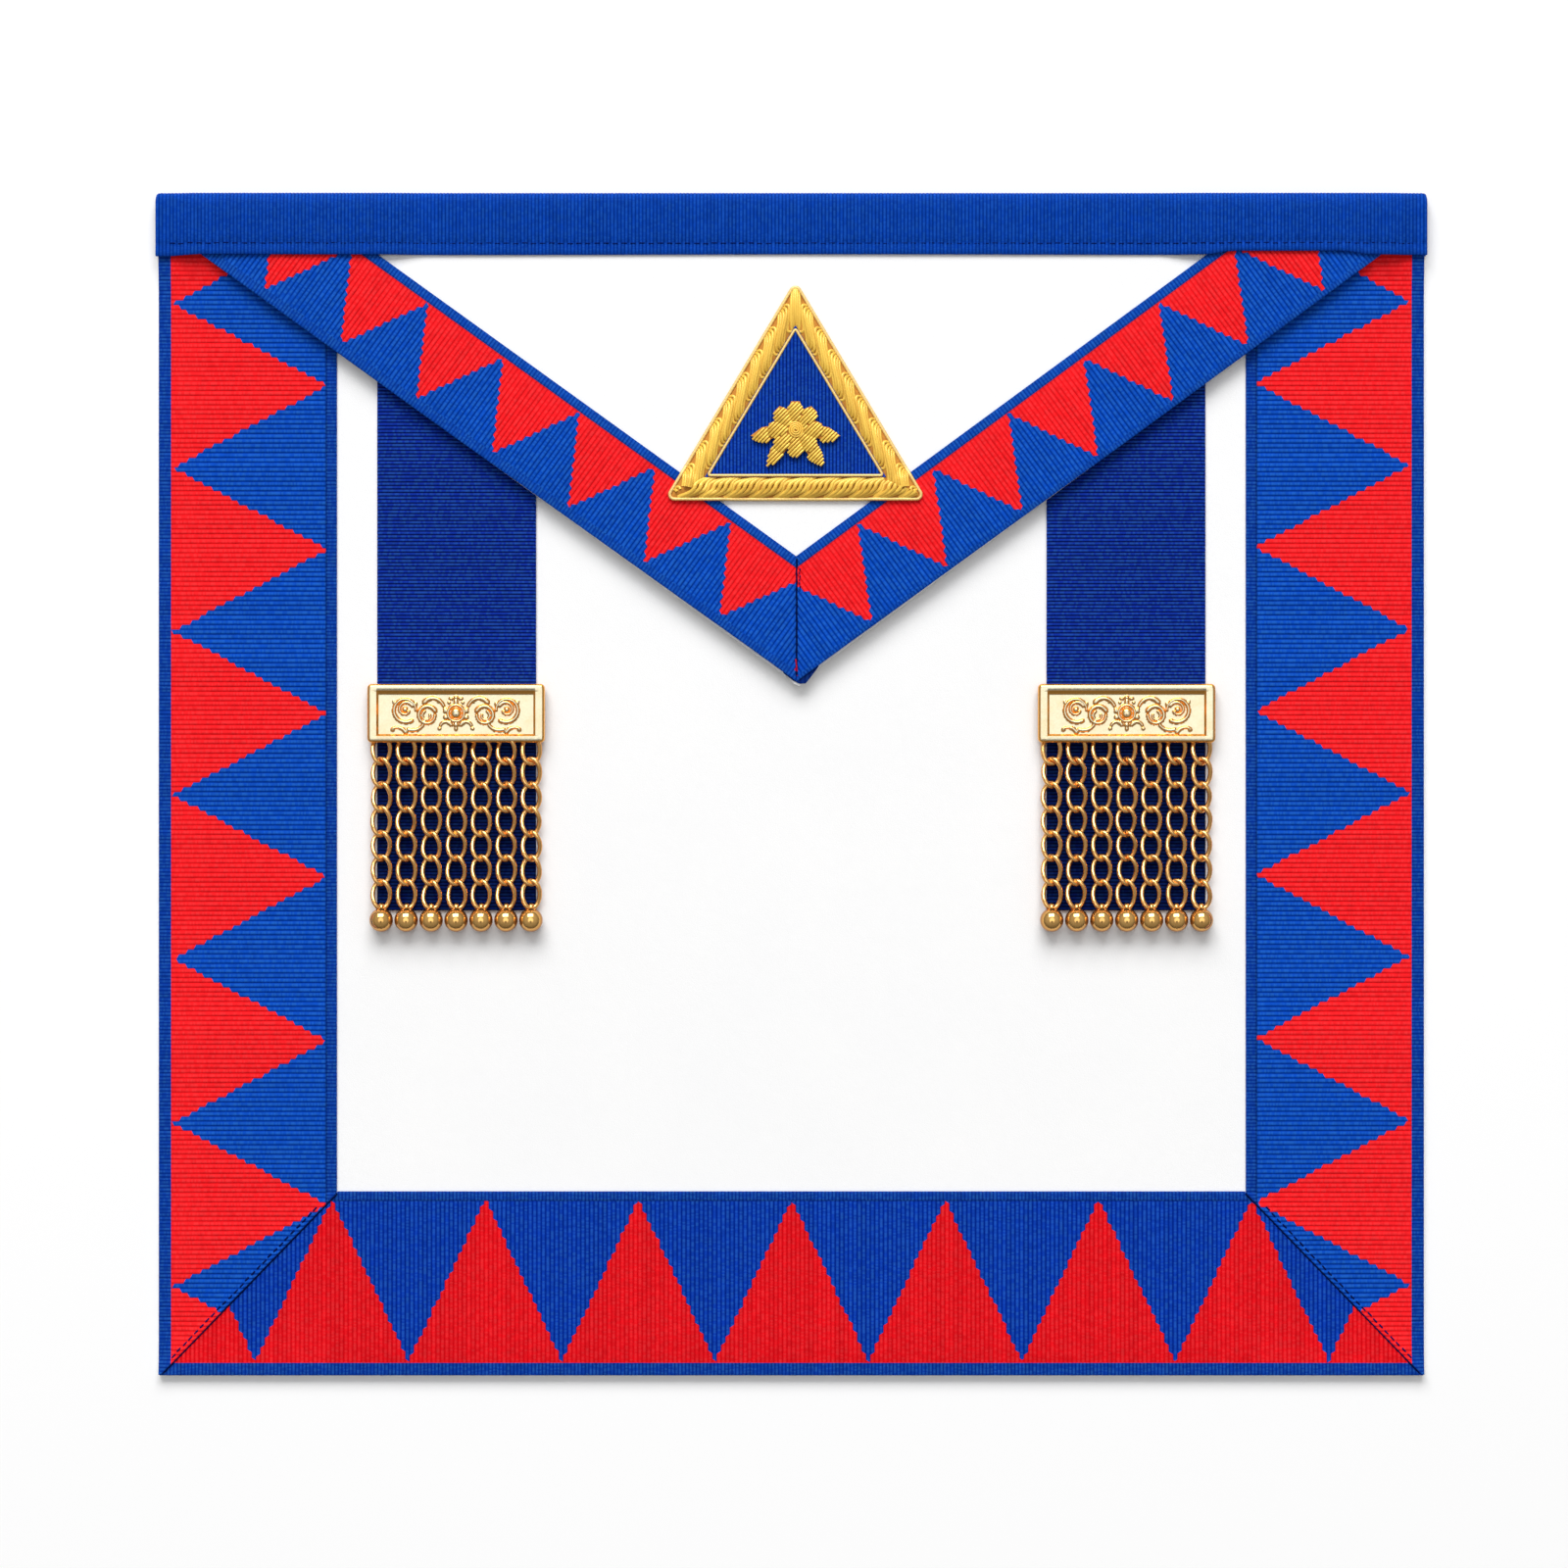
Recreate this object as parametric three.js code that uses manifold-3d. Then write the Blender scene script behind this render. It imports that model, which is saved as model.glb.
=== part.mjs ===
// Fraternal lodge apron, laid flat and face up: a white kid skin with a toothed ribbon border,
// a waistband folded over its top edge, a pointed flap with an embroidered triangle,
// and two ribbons that each carry a gilt plaque with seven chains ending in balls.
// Millimetres. +X points to the viewer's right, +Y to the waistband, +Z out of the apron's face.
// The origin is on the surface that the apron lies on, under the middle of its outline.
// Left and right are the viewer's.
import * as THREE from 'three';
import { mergeVertices } from 'three/addons/utils/BufferGeometryUtils.js';
import Module from 'manifold-3d';

// Skin and the border sewn on it
const skinWidth = 406.4;
const skirtLength = 359.6; // from the waistband's lower edge to the hem
const skinThickness = 1.2;
const sideBorderWidth = 57.2;
const hemBorderWidth = 59.0;
const borderThickness = 1.0;
const layerGap = 0.15; // air between two layers sewn together
const mitreGap = 0.3; // air between two ribbon ends that meet
const rampLength = 14; // where the layers climb onto the waistband's back layer

// Waistband, a ribbon folded over the top edge
const bandHeight = 20.0;
const bandOverhang = 0.7; // how far each end stands past the skin's side
const bandThickness = 1.0;
const seamTuck = 8.0; // how far the flap reaches under the waistband
const foldSteps = 3;

// Flap, hinged at the waistband's lower edge
const flapDrop = 137.5; // from the waistband's lower edge to the tip
const flapSideInset = 14.2; // from the skin's side to the flap's upper corner
const flapTipShift = 1.7; // the sewn tip stands a little right of the middle
const flapTipLift = 2.2; // air between the tip and the ribbons' level, where the stiff flap stands off
const flapThickness = 1.0;
const flapRibbonWidth = 33.0;
const flapRibbonThickness = 1.0;
const restGap = 0.3; // air under a piece that rests on another one

// Embroidered triangle on the flap
const emblemApexDrop = 7.7; // from the waistband's lower edge to the sharp apex
const emblemHeight = 71.1; // sharp apex to base
const emblemBaseWidth = 85.3; // between the two sharp base corners
const emblemShift = 1.3; // its middle stands a little right of the skin's
const emblemGroundThickness = 1.0;
const frameBandWidth = 8.6;
const frameHeight = 2.2; // padded gold border, at its crown
const frameShoulder = 0.9; // the same border, at its two edges
const outerCornerCut = 2.6; // how far along each side a worked outer corner is cut off
const innerCornerCut = 0.6;

// Worked flower in the triangle
const petalCount = 8;
const petalReach = 8.6;
const petalNotch = 2.2; // depth between two petals
const leafReach = 14.6; // from the flower's middle to a leaf's tip
const leafWidth = 4.6;
const leafAngles = [-10, -52]; // degrees below the horizontal, on each side
const leafThickness = 0.7;
const petalThickness = 1.0;
const flowerEyeRadius = 2.6;
const flowerEyeHeight = 0.7; // above the petals
const flowerRise = 14.4; // its middle above the inner edge of the gold border's base

// Ribbons that hang from the waistband, and their plaques
const tasselToBorder = 10.05; // from the side border's inner edge to the plaque's end
const tasselRibbonThickness = 1.0;
const ribbonInset = 2.95; // how far the plaque stands past each edge of the ribbon
const ribbonEndRise = 3.0; // from a ball's middle up to the ribbon's cut end
const plaqueDrop = 137.6; // from the waistband's lower edge to the plaque's top
const plaqueHeight = 18.9;
const plaqueDepth = 3.8;
const plaqueCornerRadius = 1.5;
const plaqueRim = 2.7; // width of the raised frame round the sunk field
const plaqueRecess = 0.8;
const plaqueEndReach = 4.45; // from the outermost chain's middle to the plaque's end
const reliefHeight = 0.55;
const scrollBand = 1.0;
const bossRadius = 2.5;
const bossHeight = 0.75;
const domeShare = 0.6; // a low dome's top against its foot
const domeSides = 8;

// Chains and balls
const chainCount = 7;
const linkCount = 6;
const linkWidth = 6.5; // outside
const linkLength = 9.95; // outside
const wireRadius = 0.575;
const linkTwist = 40; // degrees that each end of a link turns out of its plane
const linkSides = 10;
const wireSides = 5;
const solderDepth = 0.12; // how far two links, or a link and its ball, run into each other
const solderTuck = 1.5; // how far the uppermost links run into the plaque's lower edge
const ballDiameter = 7.5;
const ballGap = 0.5; // air between two neighbours in the row of balls
const ballSides = 10;
const ballRows = 4;
const firstLinkDrop = 9.6; // from the plaque's lower edge to the first free link's middle

// Places worked out from the sizes above
const totalLength = skirtLength + bandHeight;
const hemY = -totalLength / 2;
const waistY = hemY + skirtLength;
const underBandRise = bandThickness + layerGap;
const onSkin = skinThickness + layerGap;
const ribbonTop = onSkin + Math.max(borderThickness, tasselRibbonThickness);
const flapHingeZ = ribbonTop + underBandRise + restGap;
const flapTilt = Math.atan((flapHingeZ - ribbonTop - flapTipLift) / flapDrop);
const flapRibbonZ = flapThickness + restGap;
const flapStack = flapRibbonZ + flapRibbonThickness;
const bandFrontZ = flapHingeZ + flapStack + Math.max(seamTuck * Math.sin(flapTilt), 0) + restGap;
const bandDepth = bandFrontZ + bandThickness;
const skinTuck = bandHeight - bandDepth / 2;

const wasm = await Module();
wasm.setup();

function finish(colour, roughness, metalness = 0) {
  return new THREE.MeshStandardMaterial({ color: colour, roughness, metalness });
}
const whiteKid = finish(0xf6f6f4, 0.75);
const toothedRibbon = finish(0x0d4cba, 0.7);
const bandRibbon = finish(0x0b3ea1, 0.7);
const navyRibbon = finish(0x102f88, 0.65);
const gilt = finish(0xe2a94a, 0.22, 1);
const goldThread = finish(0xe4b049, 0.4, 0.6);
const blueSilk = finish(0x123997, 0.6);

function mesh(name, geometry, material) {
  const made = new THREE.Mesh(geometry, material);
  made.name = name;
  return made;
}

// A geometry with its shared corners merged and its collapsed faces dropped
function closed(geometry) {
  const bare = new THREE.BufferGeometry();
  bare.setAttribute('position', geometry.getAttribute('position'));
  bare.setIndex(geometry.getIndex());
  const merged = mergeVertices(bare, 1e-4);
  const corners = merged.getIndex().array;
  const kept = [];
  for (let i = 0; i < corners.length; i += 3) {
    const [a, b, c] = corners.slice(i, i + 3);
    if (a !== b && b !== c && c !== a) kept.push(a, b, c);
  }
  merged.setIndex(kept);
  merged.computeVertexNormals();
  return merged;
}

// A geometry whose every corner is moved to the place worked out from where it was
function moved(geometry, place) {
  const at = geometry.getAttribute('position');
  const uv = geometry.getAttribute('uv');
  for (let i = 0; i < at.count; i += 1) {
    const corner = new THREE.Vector3().fromBufferAttribute(at, i);
    const { x, y, z } = place(corner, uv.getX(i), uv.getY(i));
    at.setXYZ(i, x, y, z);
  }
  return closed(geometry);
}

function toSolid(geometry) {
  const merged = closed(geometry);
  return new wasm.Manifold(new wasm.Mesh({
    numProp: 3,
    vertProperties: new Float32Array(merged.getAttribute('position').array),
    triVerts: new Uint32Array(merged.getIndex().array),
  }));
}

function toGeometry(solid) {
  const { vertProperties, triVerts } = solid.getMesh();
  const geometry = new THREE.BufferGeometry();
  geometry.setAttribute('position', new THREE.BufferAttribute(vertProperties, 3));
  geometry.setIndex(new THREE.BufferAttribute(triVerts, 1));
  geometry.computeVertexNormals();
  return geometry;
}

function fused(geometries) {
  return toGeometry(geometries.map(toSolid).reduce((whole, next) => whole.add(next)));
}

// A flat layer of cloth or leather: a thin box cut into stretches along Y. Each row, from the
// hem up, says where the layer's left and right edges are there and how high it lies.
// A row may come to a point.
function clothLayer(rows, thickness) {
  const stretches = rows.length - 1;
  const box = new THREE.BoxGeometry(1, 1, 1, 1, stretches, 1);
  return moved(box, (corner) => {
    const row = rows[Math.round((corner.y + 0.5) * stretches)];
    const x = THREE.MathUtils.lerp(row.left, row.right, corner.x + 0.5);
    const z = (row.z ?? 0) + (corner.z + 0.5) * thickness;
    return new THREE.Vector3(x, row.y, z);
  });
}

// The rows by which a layer that is caught under the waistband climbs onto its back layer
function rowsUnderBand(left, right, z) {
  return [
    { y: waistY - rampLength, left, right, z },
    { y: waistY - mitreGap, left, right, z: z + underBandRise },
    { y: waistY + skinTuck, left, right, z: z + underBandRise },
  ];
}

function makeSkin() {
  const half = skinWidth / 2;
  const rows = [{ y: hemY, left: -half, right: half, z: 0 }, ...rowsUnderBand(-half, half, 0)];
  return clothLayer(rows, skinThickness);
}

// side is -1 for the left piece of a pair and +1 for the right one
function edgesOf(side, outer, inner) {
  return side < 0 ? { left: outer, right: inner } : { left: inner, right: outer };
}

function makeSideBorder(side) {
  const outer = side * skinWidth / 2;
  const { left, right } = edgesOf(side, outer, outer - side * sideBorderWidth);
  const rows = [
    { y: hemY + mitreGap, left: outer, right: outer, z: onSkin },
    { y: hemY + hemBorderWidth + mitreGap, left, right, z: onSkin },
    ...rowsUnderBand(left, right, onSkin),
  ];
  return clothLayer(rows, borderThickness);
}

function makeHemBorder() {
  const half = skinWidth / 2 - mitreGap;
  const top = half - sideBorderWidth;
  const rows = [
    { y: hemY, left: -half, right: half, z: onSkin },
    { y: hemY + hemBorderWidth, left: -top, right: top, z: onSkin },
  ];
  return clothLayer(rows, borderThickness);
}

// The waistband's section, open below: back layer, rounded fold along the top, front layer
function makeWaistband() {
  const outer = bandDepth / 2;
  const inner = outer - bandThickness;
  const foldY = bandHeight - outer;
  const quarter = Math.PI / 2;
  const section = new THREE.Shape();
  section.moveTo(0, 0);
  section.lineTo(foldY, 0);
  section.absarc(foldY, outer, outer, -quarter, quarter, false);
  section.lineTo(0, bandDepth);
  section.lineTo(0, bandDepth - bandThickness);
  section.lineTo(foldY, bandDepth - bandThickness);
  section.absarc(foldY, outer, inner, quarter, -quarter, true);
  section.lineTo(0, bandThickness);
  const length = skinWidth + 2 * bandOverhang;
  const options = { depth: length, bevelEnabled: false, curveSegments: foldSteps };
  const drawn = new THREE.ExtrudeGeometry(section, options);
  // The section's own x is the apron's y, its y is z, and its depth runs along X
  return moved(drawn, ({ x, y, z }) => new THREE.Vector3(z - length / 2, waistY + x, y));
}

// One side of the flap, in the flap's own frame, where y is 0 at the waistband's lower edge
function flapEdges(side) {
  const corner = side * (skinWidth / 2 - flapSideInset);
  const slope = (flapTipShift - corner) / flapDrop;
  const innerCorner = corner - side * flapRibbonWidth * Math.hypot(1, slope);
  const innerMeetsSeam = -(flapTipShift - innerCorner) / slope;
  const outerAtMeeting = corner - slope * innerMeetsSeam;
  return { corner, innerCorner, innerMeetsSeam, outerAtMeeting };
}

function makeFlapSkin() {
  const left = flapEdges(-1).corner;
  const right = flapEdges(1).corner;
  const rows = [
    { y: -flapDrop, left: flapTipShift, right: flapTipShift },
    { y: 0, left, right },
    { y: seamTuck, left, right },
  ];
  return clothLayer(rows, flapThickness);
}

function makeFlapRibbon(side) {
  const { corner, innerCorner, innerMeetsSeam, outerAtMeeting } = flapEdges(side);
  const seam = flapTipShift + side * mitreGap / 2;
  const rows = [
    { y: -flapDrop + mitreGap, ...edgesOf(side, seam, seam) },
    { y: innerMeetsSeam, ...edgesOf(side, outerAtMeeting, seam) },
    { y: 0, ...edgesOf(side, corner, innerCorner) },
    { y: seamTuck, ...edgesOf(side, corner, innerCorner) },
  ];
  return clothLayer(rows, flapRibbonThickness);
}

// The triangle's outline, going round anticlockwise, pulled in by a distance and with a short
// stretch of each side cut off at the corners. The points come in flap coordinates.
const emblemSlant = Math.hypot(emblemBaseWidth / 2, emblemHeight);
const emblemInradius = emblemBaseWidth * emblemHeight / (emblemBaseWidth + 2 * emblemSlant);
const emblemBaseY = -emblemApexDrop - emblemHeight;
function emblemOutline(inset, cut) {
  const share = 1 - inset / emblemInradius;
  const sharp = [
    [0, emblemHeight - emblemInradius],
    [-emblemBaseWidth / 2, -emblemInradius],
    [emblemBaseWidth / 2, -emblemInradius],
  ];
  const middle = new THREE.Vector2(emblemShift, emblemBaseY + emblemInradius);
  const corners = sharp.map(([x, y]) => new THREE.Vector2(x, y).multiplyScalar(share).add(middle));
  return corners.flatMap((corner, i) => [corners[(i + 2) % 3], corners[(i + 1) % 3]].map(
    (neighbour) => neighbour.clone().sub(corner).setLength(cut).add(corner)));
}

function makeEmblemGround() {
  const shape = new THREE.Shape(emblemOutline(frameBandWidth + restGap, innerCornerCut));
  return new THREE.ExtrudeGeometry(shape, { depth: emblemGroundThickness, bevelEnabled: false });
}

// The padded border's section, going round from its outer foot: across is a share of its width
const frameSection = [
  { across: 0, z: 0 },
  { across: 0, z: frameShoulder },
  { across: 0.3, z: frameHeight },
  { across: 0.7, z: frameHeight },
  { across: 1, z: frameShoulder },
  { across: 1, z: 0 },
];

// A torus whose rounds are moved to the section and whose turns are moved to the outline
function makeEmblemFrame() {
  const rounds = frameSection.length;
  const outlinePoints = emblemOutline(0, outerCornerCut).length;
  const torus = new THREE.TorusGeometry(2, 1, rounds, outlinePoints);
  return moved(torus, (corner, u, v) => {
    const { across, z } = frameSection[Math.round(v * rounds) % rounds];
    const cut = THREE.MathUtils.lerp(outerCornerCut, innerCornerCut, across);
    const outline = emblemOutline(across * frameBandWidth, cut);
    const point = outline[Math.round(u * outlinePoints) % outlinePoints];
    return new THREE.Vector3(point.x, point.y, z);
  });
}

// One petal's outline: turn is a share of the angle between two petals
const petalOutline = [
  { turn: -0.5, notched: 1 },
  { turn: -0.2, notched: 0 },
  { turn: 0.2, notched: 0 },
];

function makePetals() {
  const points = [];
  for (let i = 0; i < petalCount; i += 1) {
    for (const { turn, notched } of petalOutline) {
      const angle = (i + turn) * 2 * Math.PI / petalCount;
      const radius = petalReach - notched * petalNotch;
      points.push(new THREE.Vector2(radius, 0).rotateAround(new THREE.Vector2(), angle));
    }
  }
  const shape = new THREE.Shape(points);
  return new THREE.ExtrudeGeometry(shape, { depth: petalThickness, bevelEnabled: false });
}

// A pointed leaf that grows from the flower's middle along its own x
function makeLeaf() {
  const start = flowerEyeRadius;
  const widest = (start + leafReach) / 2;
  const shape = new THREE.Shape();
  shape.moveTo(start, 0);
  shape.quadraticCurveTo(widest, -leafWidth, leafReach, 0);
  shape.quadraticCurveTo(widest, leafWidth, start, 0);
  const options = { depth: leafThickness, bevelEnabled: false, curveSegments: 3 };
  return new THREE.ExtrudeGeometry(shape, options);
}

function makeFlower() {
  const parts = [makePetals()];
  for (const below of leafAngles) {
    const angle = THREE.MathUtils.degToRad(below);
    parts.push(makeLeaf().rotateZ(angle), makeLeaf().rotateZ(Math.PI - angle));
  }
  const eyeDepth = flowerEyeHeight + petalThickness / 2;
  const eye = new THREE.CylinderGeometry(flowerEyeRadius * domeShare, flowerEyeRadius, eyeDepth, domeSides);
  eye.rotateX(Math.PI / 2).translate(0, 0, petalThickness + flowerEyeHeight - eyeDepth / 2);
  parts.push(eye);
  return fused(parts);
}

function makeFlap() {
  const flap = new THREE.Group();
  flap.position.set(0, waistY, flapHingeZ);
  flap.rotation.x = flapTilt;
  flap.add(mesh('flap_skin', makeFlapSkin(), whiteKid));
  for (const [side, name] of [[-1, 'left'], [1, 'right']]) {
    const ribbon = mesh(`flap_ribbon_${name}`, makeFlapRibbon(side), toothedRibbon);
    ribbon.position.z = flapRibbonZ;
    flap.add(ribbon);
  }
  const emblem = new THREE.Group();
  emblem.position.z = flapStack + restGap;
  emblem.add(mesh('emblem_ground', makeEmblemGround(), blueSilk));
  emblem.add(mesh('emblem_frame', makeEmblemFrame(), goldThread));
  const flower = mesh('emblem_flower', makeFlower(), goldThread);
  const flowerY = emblemBaseY + frameBandWidth + flowerRise;
  flower.position.set(emblemShift, flowerY, emblemGroundThickness + restGap);
  emblem.add(flower);
  flap.add(emblem);
  return flap;
}

// A curb link: an oval with a straight stretch at each end, twisted one way at its top and the
// other way at its bottom. It is a torus whose corners are moved onto the bent wire. A ridge of
// the wire faces inwards, so that two linked wires meet ridge on ridge.
const linkHalfWidth = linkWidth / 2 - wireRadius;
const linkHalfLength = linkLength / 2 - wireRadius;
const linkEndHeight = Math.cos(Math.PI / linkSides);
const wireFlatHeight = Math.cos(Math.PI / wireSides);
function linkCorner(u, v) {
  const around = 2 * Math.PI * u;
  const section = 2 * Math.PI * v + Math.PI;
  const outward = new THREE.Vector3(Math.cos(around), Math.sin(around), 0);
  const along = outward.y / linkEndHeight;
  const point = new THREE.Vector3(linkHalfWidth * outward.x, linkHalfLength * along, 0);
  point.addScaledVector(outward, wireRadius * Math.cos(section));
  point.z = wireRadius * Math.sin(section);
  const turn = -THREE.MathUtils.degToRad(linkTwist) * along;
  return point.applyAxisAngle(new THREE.Vector3(0, 1, 0), turn);
}

function makeLink() {
  const torus = new THREE.TorusGeometry(2, 1, wireSides, linkSides);
  return moved(torus, (corner, u, v) => linkCorner(u, v));
}

// The uppermost link of a chain: from its lower half two legs run straight up into the plaque.
// The turns of the torus that would make its upper half are gathered at the tops of the legs.
function makeSolderedLink(legTop) {
  const torus = new THREE.TorusGeometry(2, 1, wireSides, linkSides);
  const legs = { left: linkSides / 2 + 1, right: linkSides - 1 };
  const rise = legTop - linkCorner(legs.left / linkSides, 0).y;
  return moved(torus, (corner, u, v) => {
    const turn = Math.round(u * linkSides) % linkSides;
    if (turn >= legs.left && turn <= legs.right) return linkCorner(u, v);
    const onRight = turn < linkSides / 4;
    const leg = onRight ? legs.right : legs.left;
    const foot = linkCorner(leg / linkSides, v);
    return foot.setY(foot.y + rise);
  });
}

// A chain's own frame has the first free link's middle at its origin
const linkPitch = 2 * (linkHalfLength - wireRadius * linkEndHeight) + solderDepth;
const ballRadius = ballDiameter / 2;
const plaqueZ = ribbonTop + restGap;
const linkZ = plaqueZ + (plaqueDepth - plaqueRecess) / 2;
const ballZ = onSkin + ballRadius;
const wireOutside = wireRadius * wireFlatHeight * linkEndHeight;
const lastLinkEnd = -(linkCount - 1) * linkPitch - linkHalfLength - wireOutside;
const ballReach = ballRadius - Math.abs(ballZ - linkZ) * Math.tan(Math.PI / (2 * ballRows));
const ballY = lastLinkEnd - ballReach + solderDepth;

function makeChain() {
  const parts = [];
  for (let k = 0; k < linkCount; k += 1) {
    parts.push(makeLink().translate(0, -k * linkPitch, 0));
  }
  const ball = new THREE.SphereGeometry(ballRadius, ballSides, ballRows);
  ball.rotateX(Math.PI / 2);
  parts.push(ball.translate(0, ballY, ballZ - linkZ));
  return fused(parts);
}

const chainPitch = Math.max(ballDiameter, linkWidth) + ballGap;
const plaqueWidth = (chainCount - 1) * chainPitch + 2 * plaqueEndReach;
const plaqueY = waistY - plaqueDrop - plaqueHeight;
const firstLinkY = plaqueY - firstLinkDrop;
const chainX = (i) => (i - (chainCount - 1) / 2) * chainPitch;
const solderedLinkY = linkPitch - solderDepth - restGap - firstLinkDrop;

function makePlate() {
  const x = plaqueWidth / 2 - plaqueCornerRadius;
  const y = plaqueHeight / 2 - plaqueCornerRadius;
  const quarter = Math.PI / 2;
  const shape = new THREE.Shape();
  shape.absarc(x, y, plaqueCornerRadius, 0, quarter, false);
  shape.absarc(-x, y, plaqueCornerRadius, quarter, 2 * quarter, false);
  shape.absarc(-x, -y, plaqueCornerRadius, 2 * quarter, 3 * quarter, false);
  shape.absarc(x, -y, plaqueCornerRadius, 3 * quarter, 4 * quarter, false);
  const options = { depth: plaqueDepth, bevelEnabled: false, curveSegments: 1 };
  return new THREE.ExtrudeGeometry(shape, options);
}

// A raised C-shaped scroll: an arc of a flat ring
function scroll({ radius, start, sweep }, depth) {
  const from = THREE.MathUtils.degToRad(start);
  const to = THREE.MathUtils.degToRad(start + sweep);
  const shape = new THREE.Shape();
  shape.absarc(0, 0, radius, from, to, false);
  shape.absarc(0, 0, radius - scrollBand, to, from, true);
  return new THREE.ExtrudeGeometry(shape, { depth, bevelEnabled: false, curveSegments: 3 });
}

// The scrolls on the field's right half; x is a share of its half width, angles in degrees
const scrolls = [
  { x: 0.36, y: 0.0, radius: 2.9, start: 20, sweep: 270 },
  { x: 0.66, y: 0.6, radius: 3.6, start: 250, sweep: 270 },
];

// The plaque's own frame has the middle of its lower edge at y 0. The uppermost link of each
// chain is soldered into that edge, and the first free link hangs in it with a little air.
function makePlaque() {
  const fieldWidth = plaqueWidth - 2 * plaqueRim;
  const fieldHeight = plaqueHeight - 2 * plaqueRim;
  const fieldZ = plaqueDepth - plaqueRecess;
  const sunk = reliefHeight / 2;
  const recess = new THREE.BoxGeometry(fieldWidth, fieldHeight, 2 * plaqueRecess);
  let plaque = toSolid(makePlate()).subtract(toSolid(recess.translate(0, 0, plaqueDepth)));
  for (const row of scrolls) {
    const raised = scroll(row, reliefHeight + sunk);
    const right = toSolid(raised.translate(row.x * fieldWidth / 2, row.y, fieldZ - sunk));
    plaque = plaque.add(right).add(right.mirror([1, 0, 0]));
  }
  const boss = new THREE.CylinderGeometry(bossRadius * domeShare, bossRadius, bossHeight + sunk, domeSides);
  boss.rotateX(Math.PI / 2).translate(0, 0, fieldZ + (bossHeight - sunk) / 2);
  plaque = plaque.add(toSolid(boss)).translate([0, plaqueHeight / 2, 0]);
  for (let i = 0; i < chainCount; i += 1) {
    const link = makeSolderedLink(solderTuck - solderedLinkY);
    link.translate(chainX(i), solderedLinkY, linkZ - plaqueZ);
    plaque = plaque.add(toSolid(link));
  }
  return toGeometry(plaque);
}

function makeTasselRibbon() {
  const half = plaqueWidth / 2 - ribbonInset;
  const end = { y: firstLinkY + ballY + ribbonEndRise, left: -half, right: half, z: onSkin };
  return clothLayer([end, ...rowsUnderBand(-half, half, onSkin)], tasselRibbonThickness);
}

const chainGeometry = makeChain();
const plaqueGeometry = makePlaque();
function makeTassel(side, name) {
  const tassel = new THREE.Group();
  const outerEnd = skinWidth / 2 - sideBorderWidth - tasselToBorder;
  tassel.position.x = side * (outerEnd - plaqueWidth / 2);
  tassel.add(mesh(`tassel_ribbon_${name}`, makeTasselRibbon(), navyRibbon));
  const plaque = mesh(`tassel_plaque_${name}`, plaqueGeometry, gilt);
  plaque.position.set(0, plaqueY, plaqueZ);
  tassel.add(plaque);
  for (let i = 0; i < chainCount; i += 1) {
    const chain = mesh(`tassel_chain_${name}_${i + 1}`, chainGeometry, gilt);
    chain.position.set(chainX(i), firstLinkY, linkZ);
    tassel.add(chain);
  }
  return tassel;
}

const apron = new THREE.Group();
apron.add(mesh('apron_skin', makeSkin(), whiteKid));
apron.add(mesh('border_ribbon_left', makeSideBorder(-1), toothedRibbon));
apron.add(mesh('border_ribbon_right', makeSideBorder(1), toothedRibbon));
apron.add(mesh('border_ribbon_hem', makeHemBorder(), toothedRibbon));
apron.add(mesh('waistband', makeWaistband(), bandRibbon));
apron.add(makeFlap());
apron.add(makeTassel(-1, 'left'));
apron.add(makeTassel(1, 'right'));

export default apron;
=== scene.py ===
# Lodge apron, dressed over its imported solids: a white kid skin with a toothed ribbon border,
# a ribbon waistband, a pointed flap with gold-thread embroidery, and two gilt chain tassels.
# Blender works in metres. The maker's sizes are millimetres, and make_piece scales them.
# X runs to the viewer's right, Y to the waistband and Z out of the apron's face.
import bpy
import numpy as np
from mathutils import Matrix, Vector


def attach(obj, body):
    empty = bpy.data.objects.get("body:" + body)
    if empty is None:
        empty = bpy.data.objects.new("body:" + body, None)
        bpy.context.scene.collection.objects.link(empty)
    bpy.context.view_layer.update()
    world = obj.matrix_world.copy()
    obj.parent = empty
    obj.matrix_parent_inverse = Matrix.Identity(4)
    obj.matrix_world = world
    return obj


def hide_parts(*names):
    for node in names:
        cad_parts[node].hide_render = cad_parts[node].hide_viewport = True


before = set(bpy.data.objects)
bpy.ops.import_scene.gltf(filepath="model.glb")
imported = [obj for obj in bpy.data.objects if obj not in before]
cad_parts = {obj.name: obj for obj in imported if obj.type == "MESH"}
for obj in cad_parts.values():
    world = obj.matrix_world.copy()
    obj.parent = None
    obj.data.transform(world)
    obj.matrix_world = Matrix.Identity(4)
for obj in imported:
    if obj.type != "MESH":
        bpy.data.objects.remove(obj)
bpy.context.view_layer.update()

# ---- Camera, light and table ----------------------------------------------------------------
# The apron lies on a pale table and is seen from straight above through a long lens. One wide
# soft light stands beyond the waistband. The room is bright overhead and dim at its walls.
MM = 0.001
PICTURE_PIXELS = 1600
PIXEL_COVERS = 0.3146
MIDDLE_PIXEL = (807.5, 800.25)  # over the apron's own middle
LENS = 120.0
SENSOR = 36.0
SHARPEST_HEIGHT = 3.0
WALL_LIGHT = 0.12
CEILING_LIGHT = 0.34
OVERHEAD_LIGHT = 1.4
WALL_TO_CEILING = (0.05, 0.7)  # heights of a direction, from 0 at the horizon to 1 overhead
CEILING_TO_OVERHEAD = (0.86, 0.955)
LEAN_TO_WAIST = 0.40  # how much brighter the room is beyond the waistband
CAMERA_SHADE = 0.12  # what is left of the light where the camera and its stand hang
CAMERA_SHADE_AT = (0.0, -0.30, 0.954)
CAMERA_SHADE_EDGE = (0.974, 0.986)
LAMP_AT = (-0.45, 5.05, 4.05)
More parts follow.
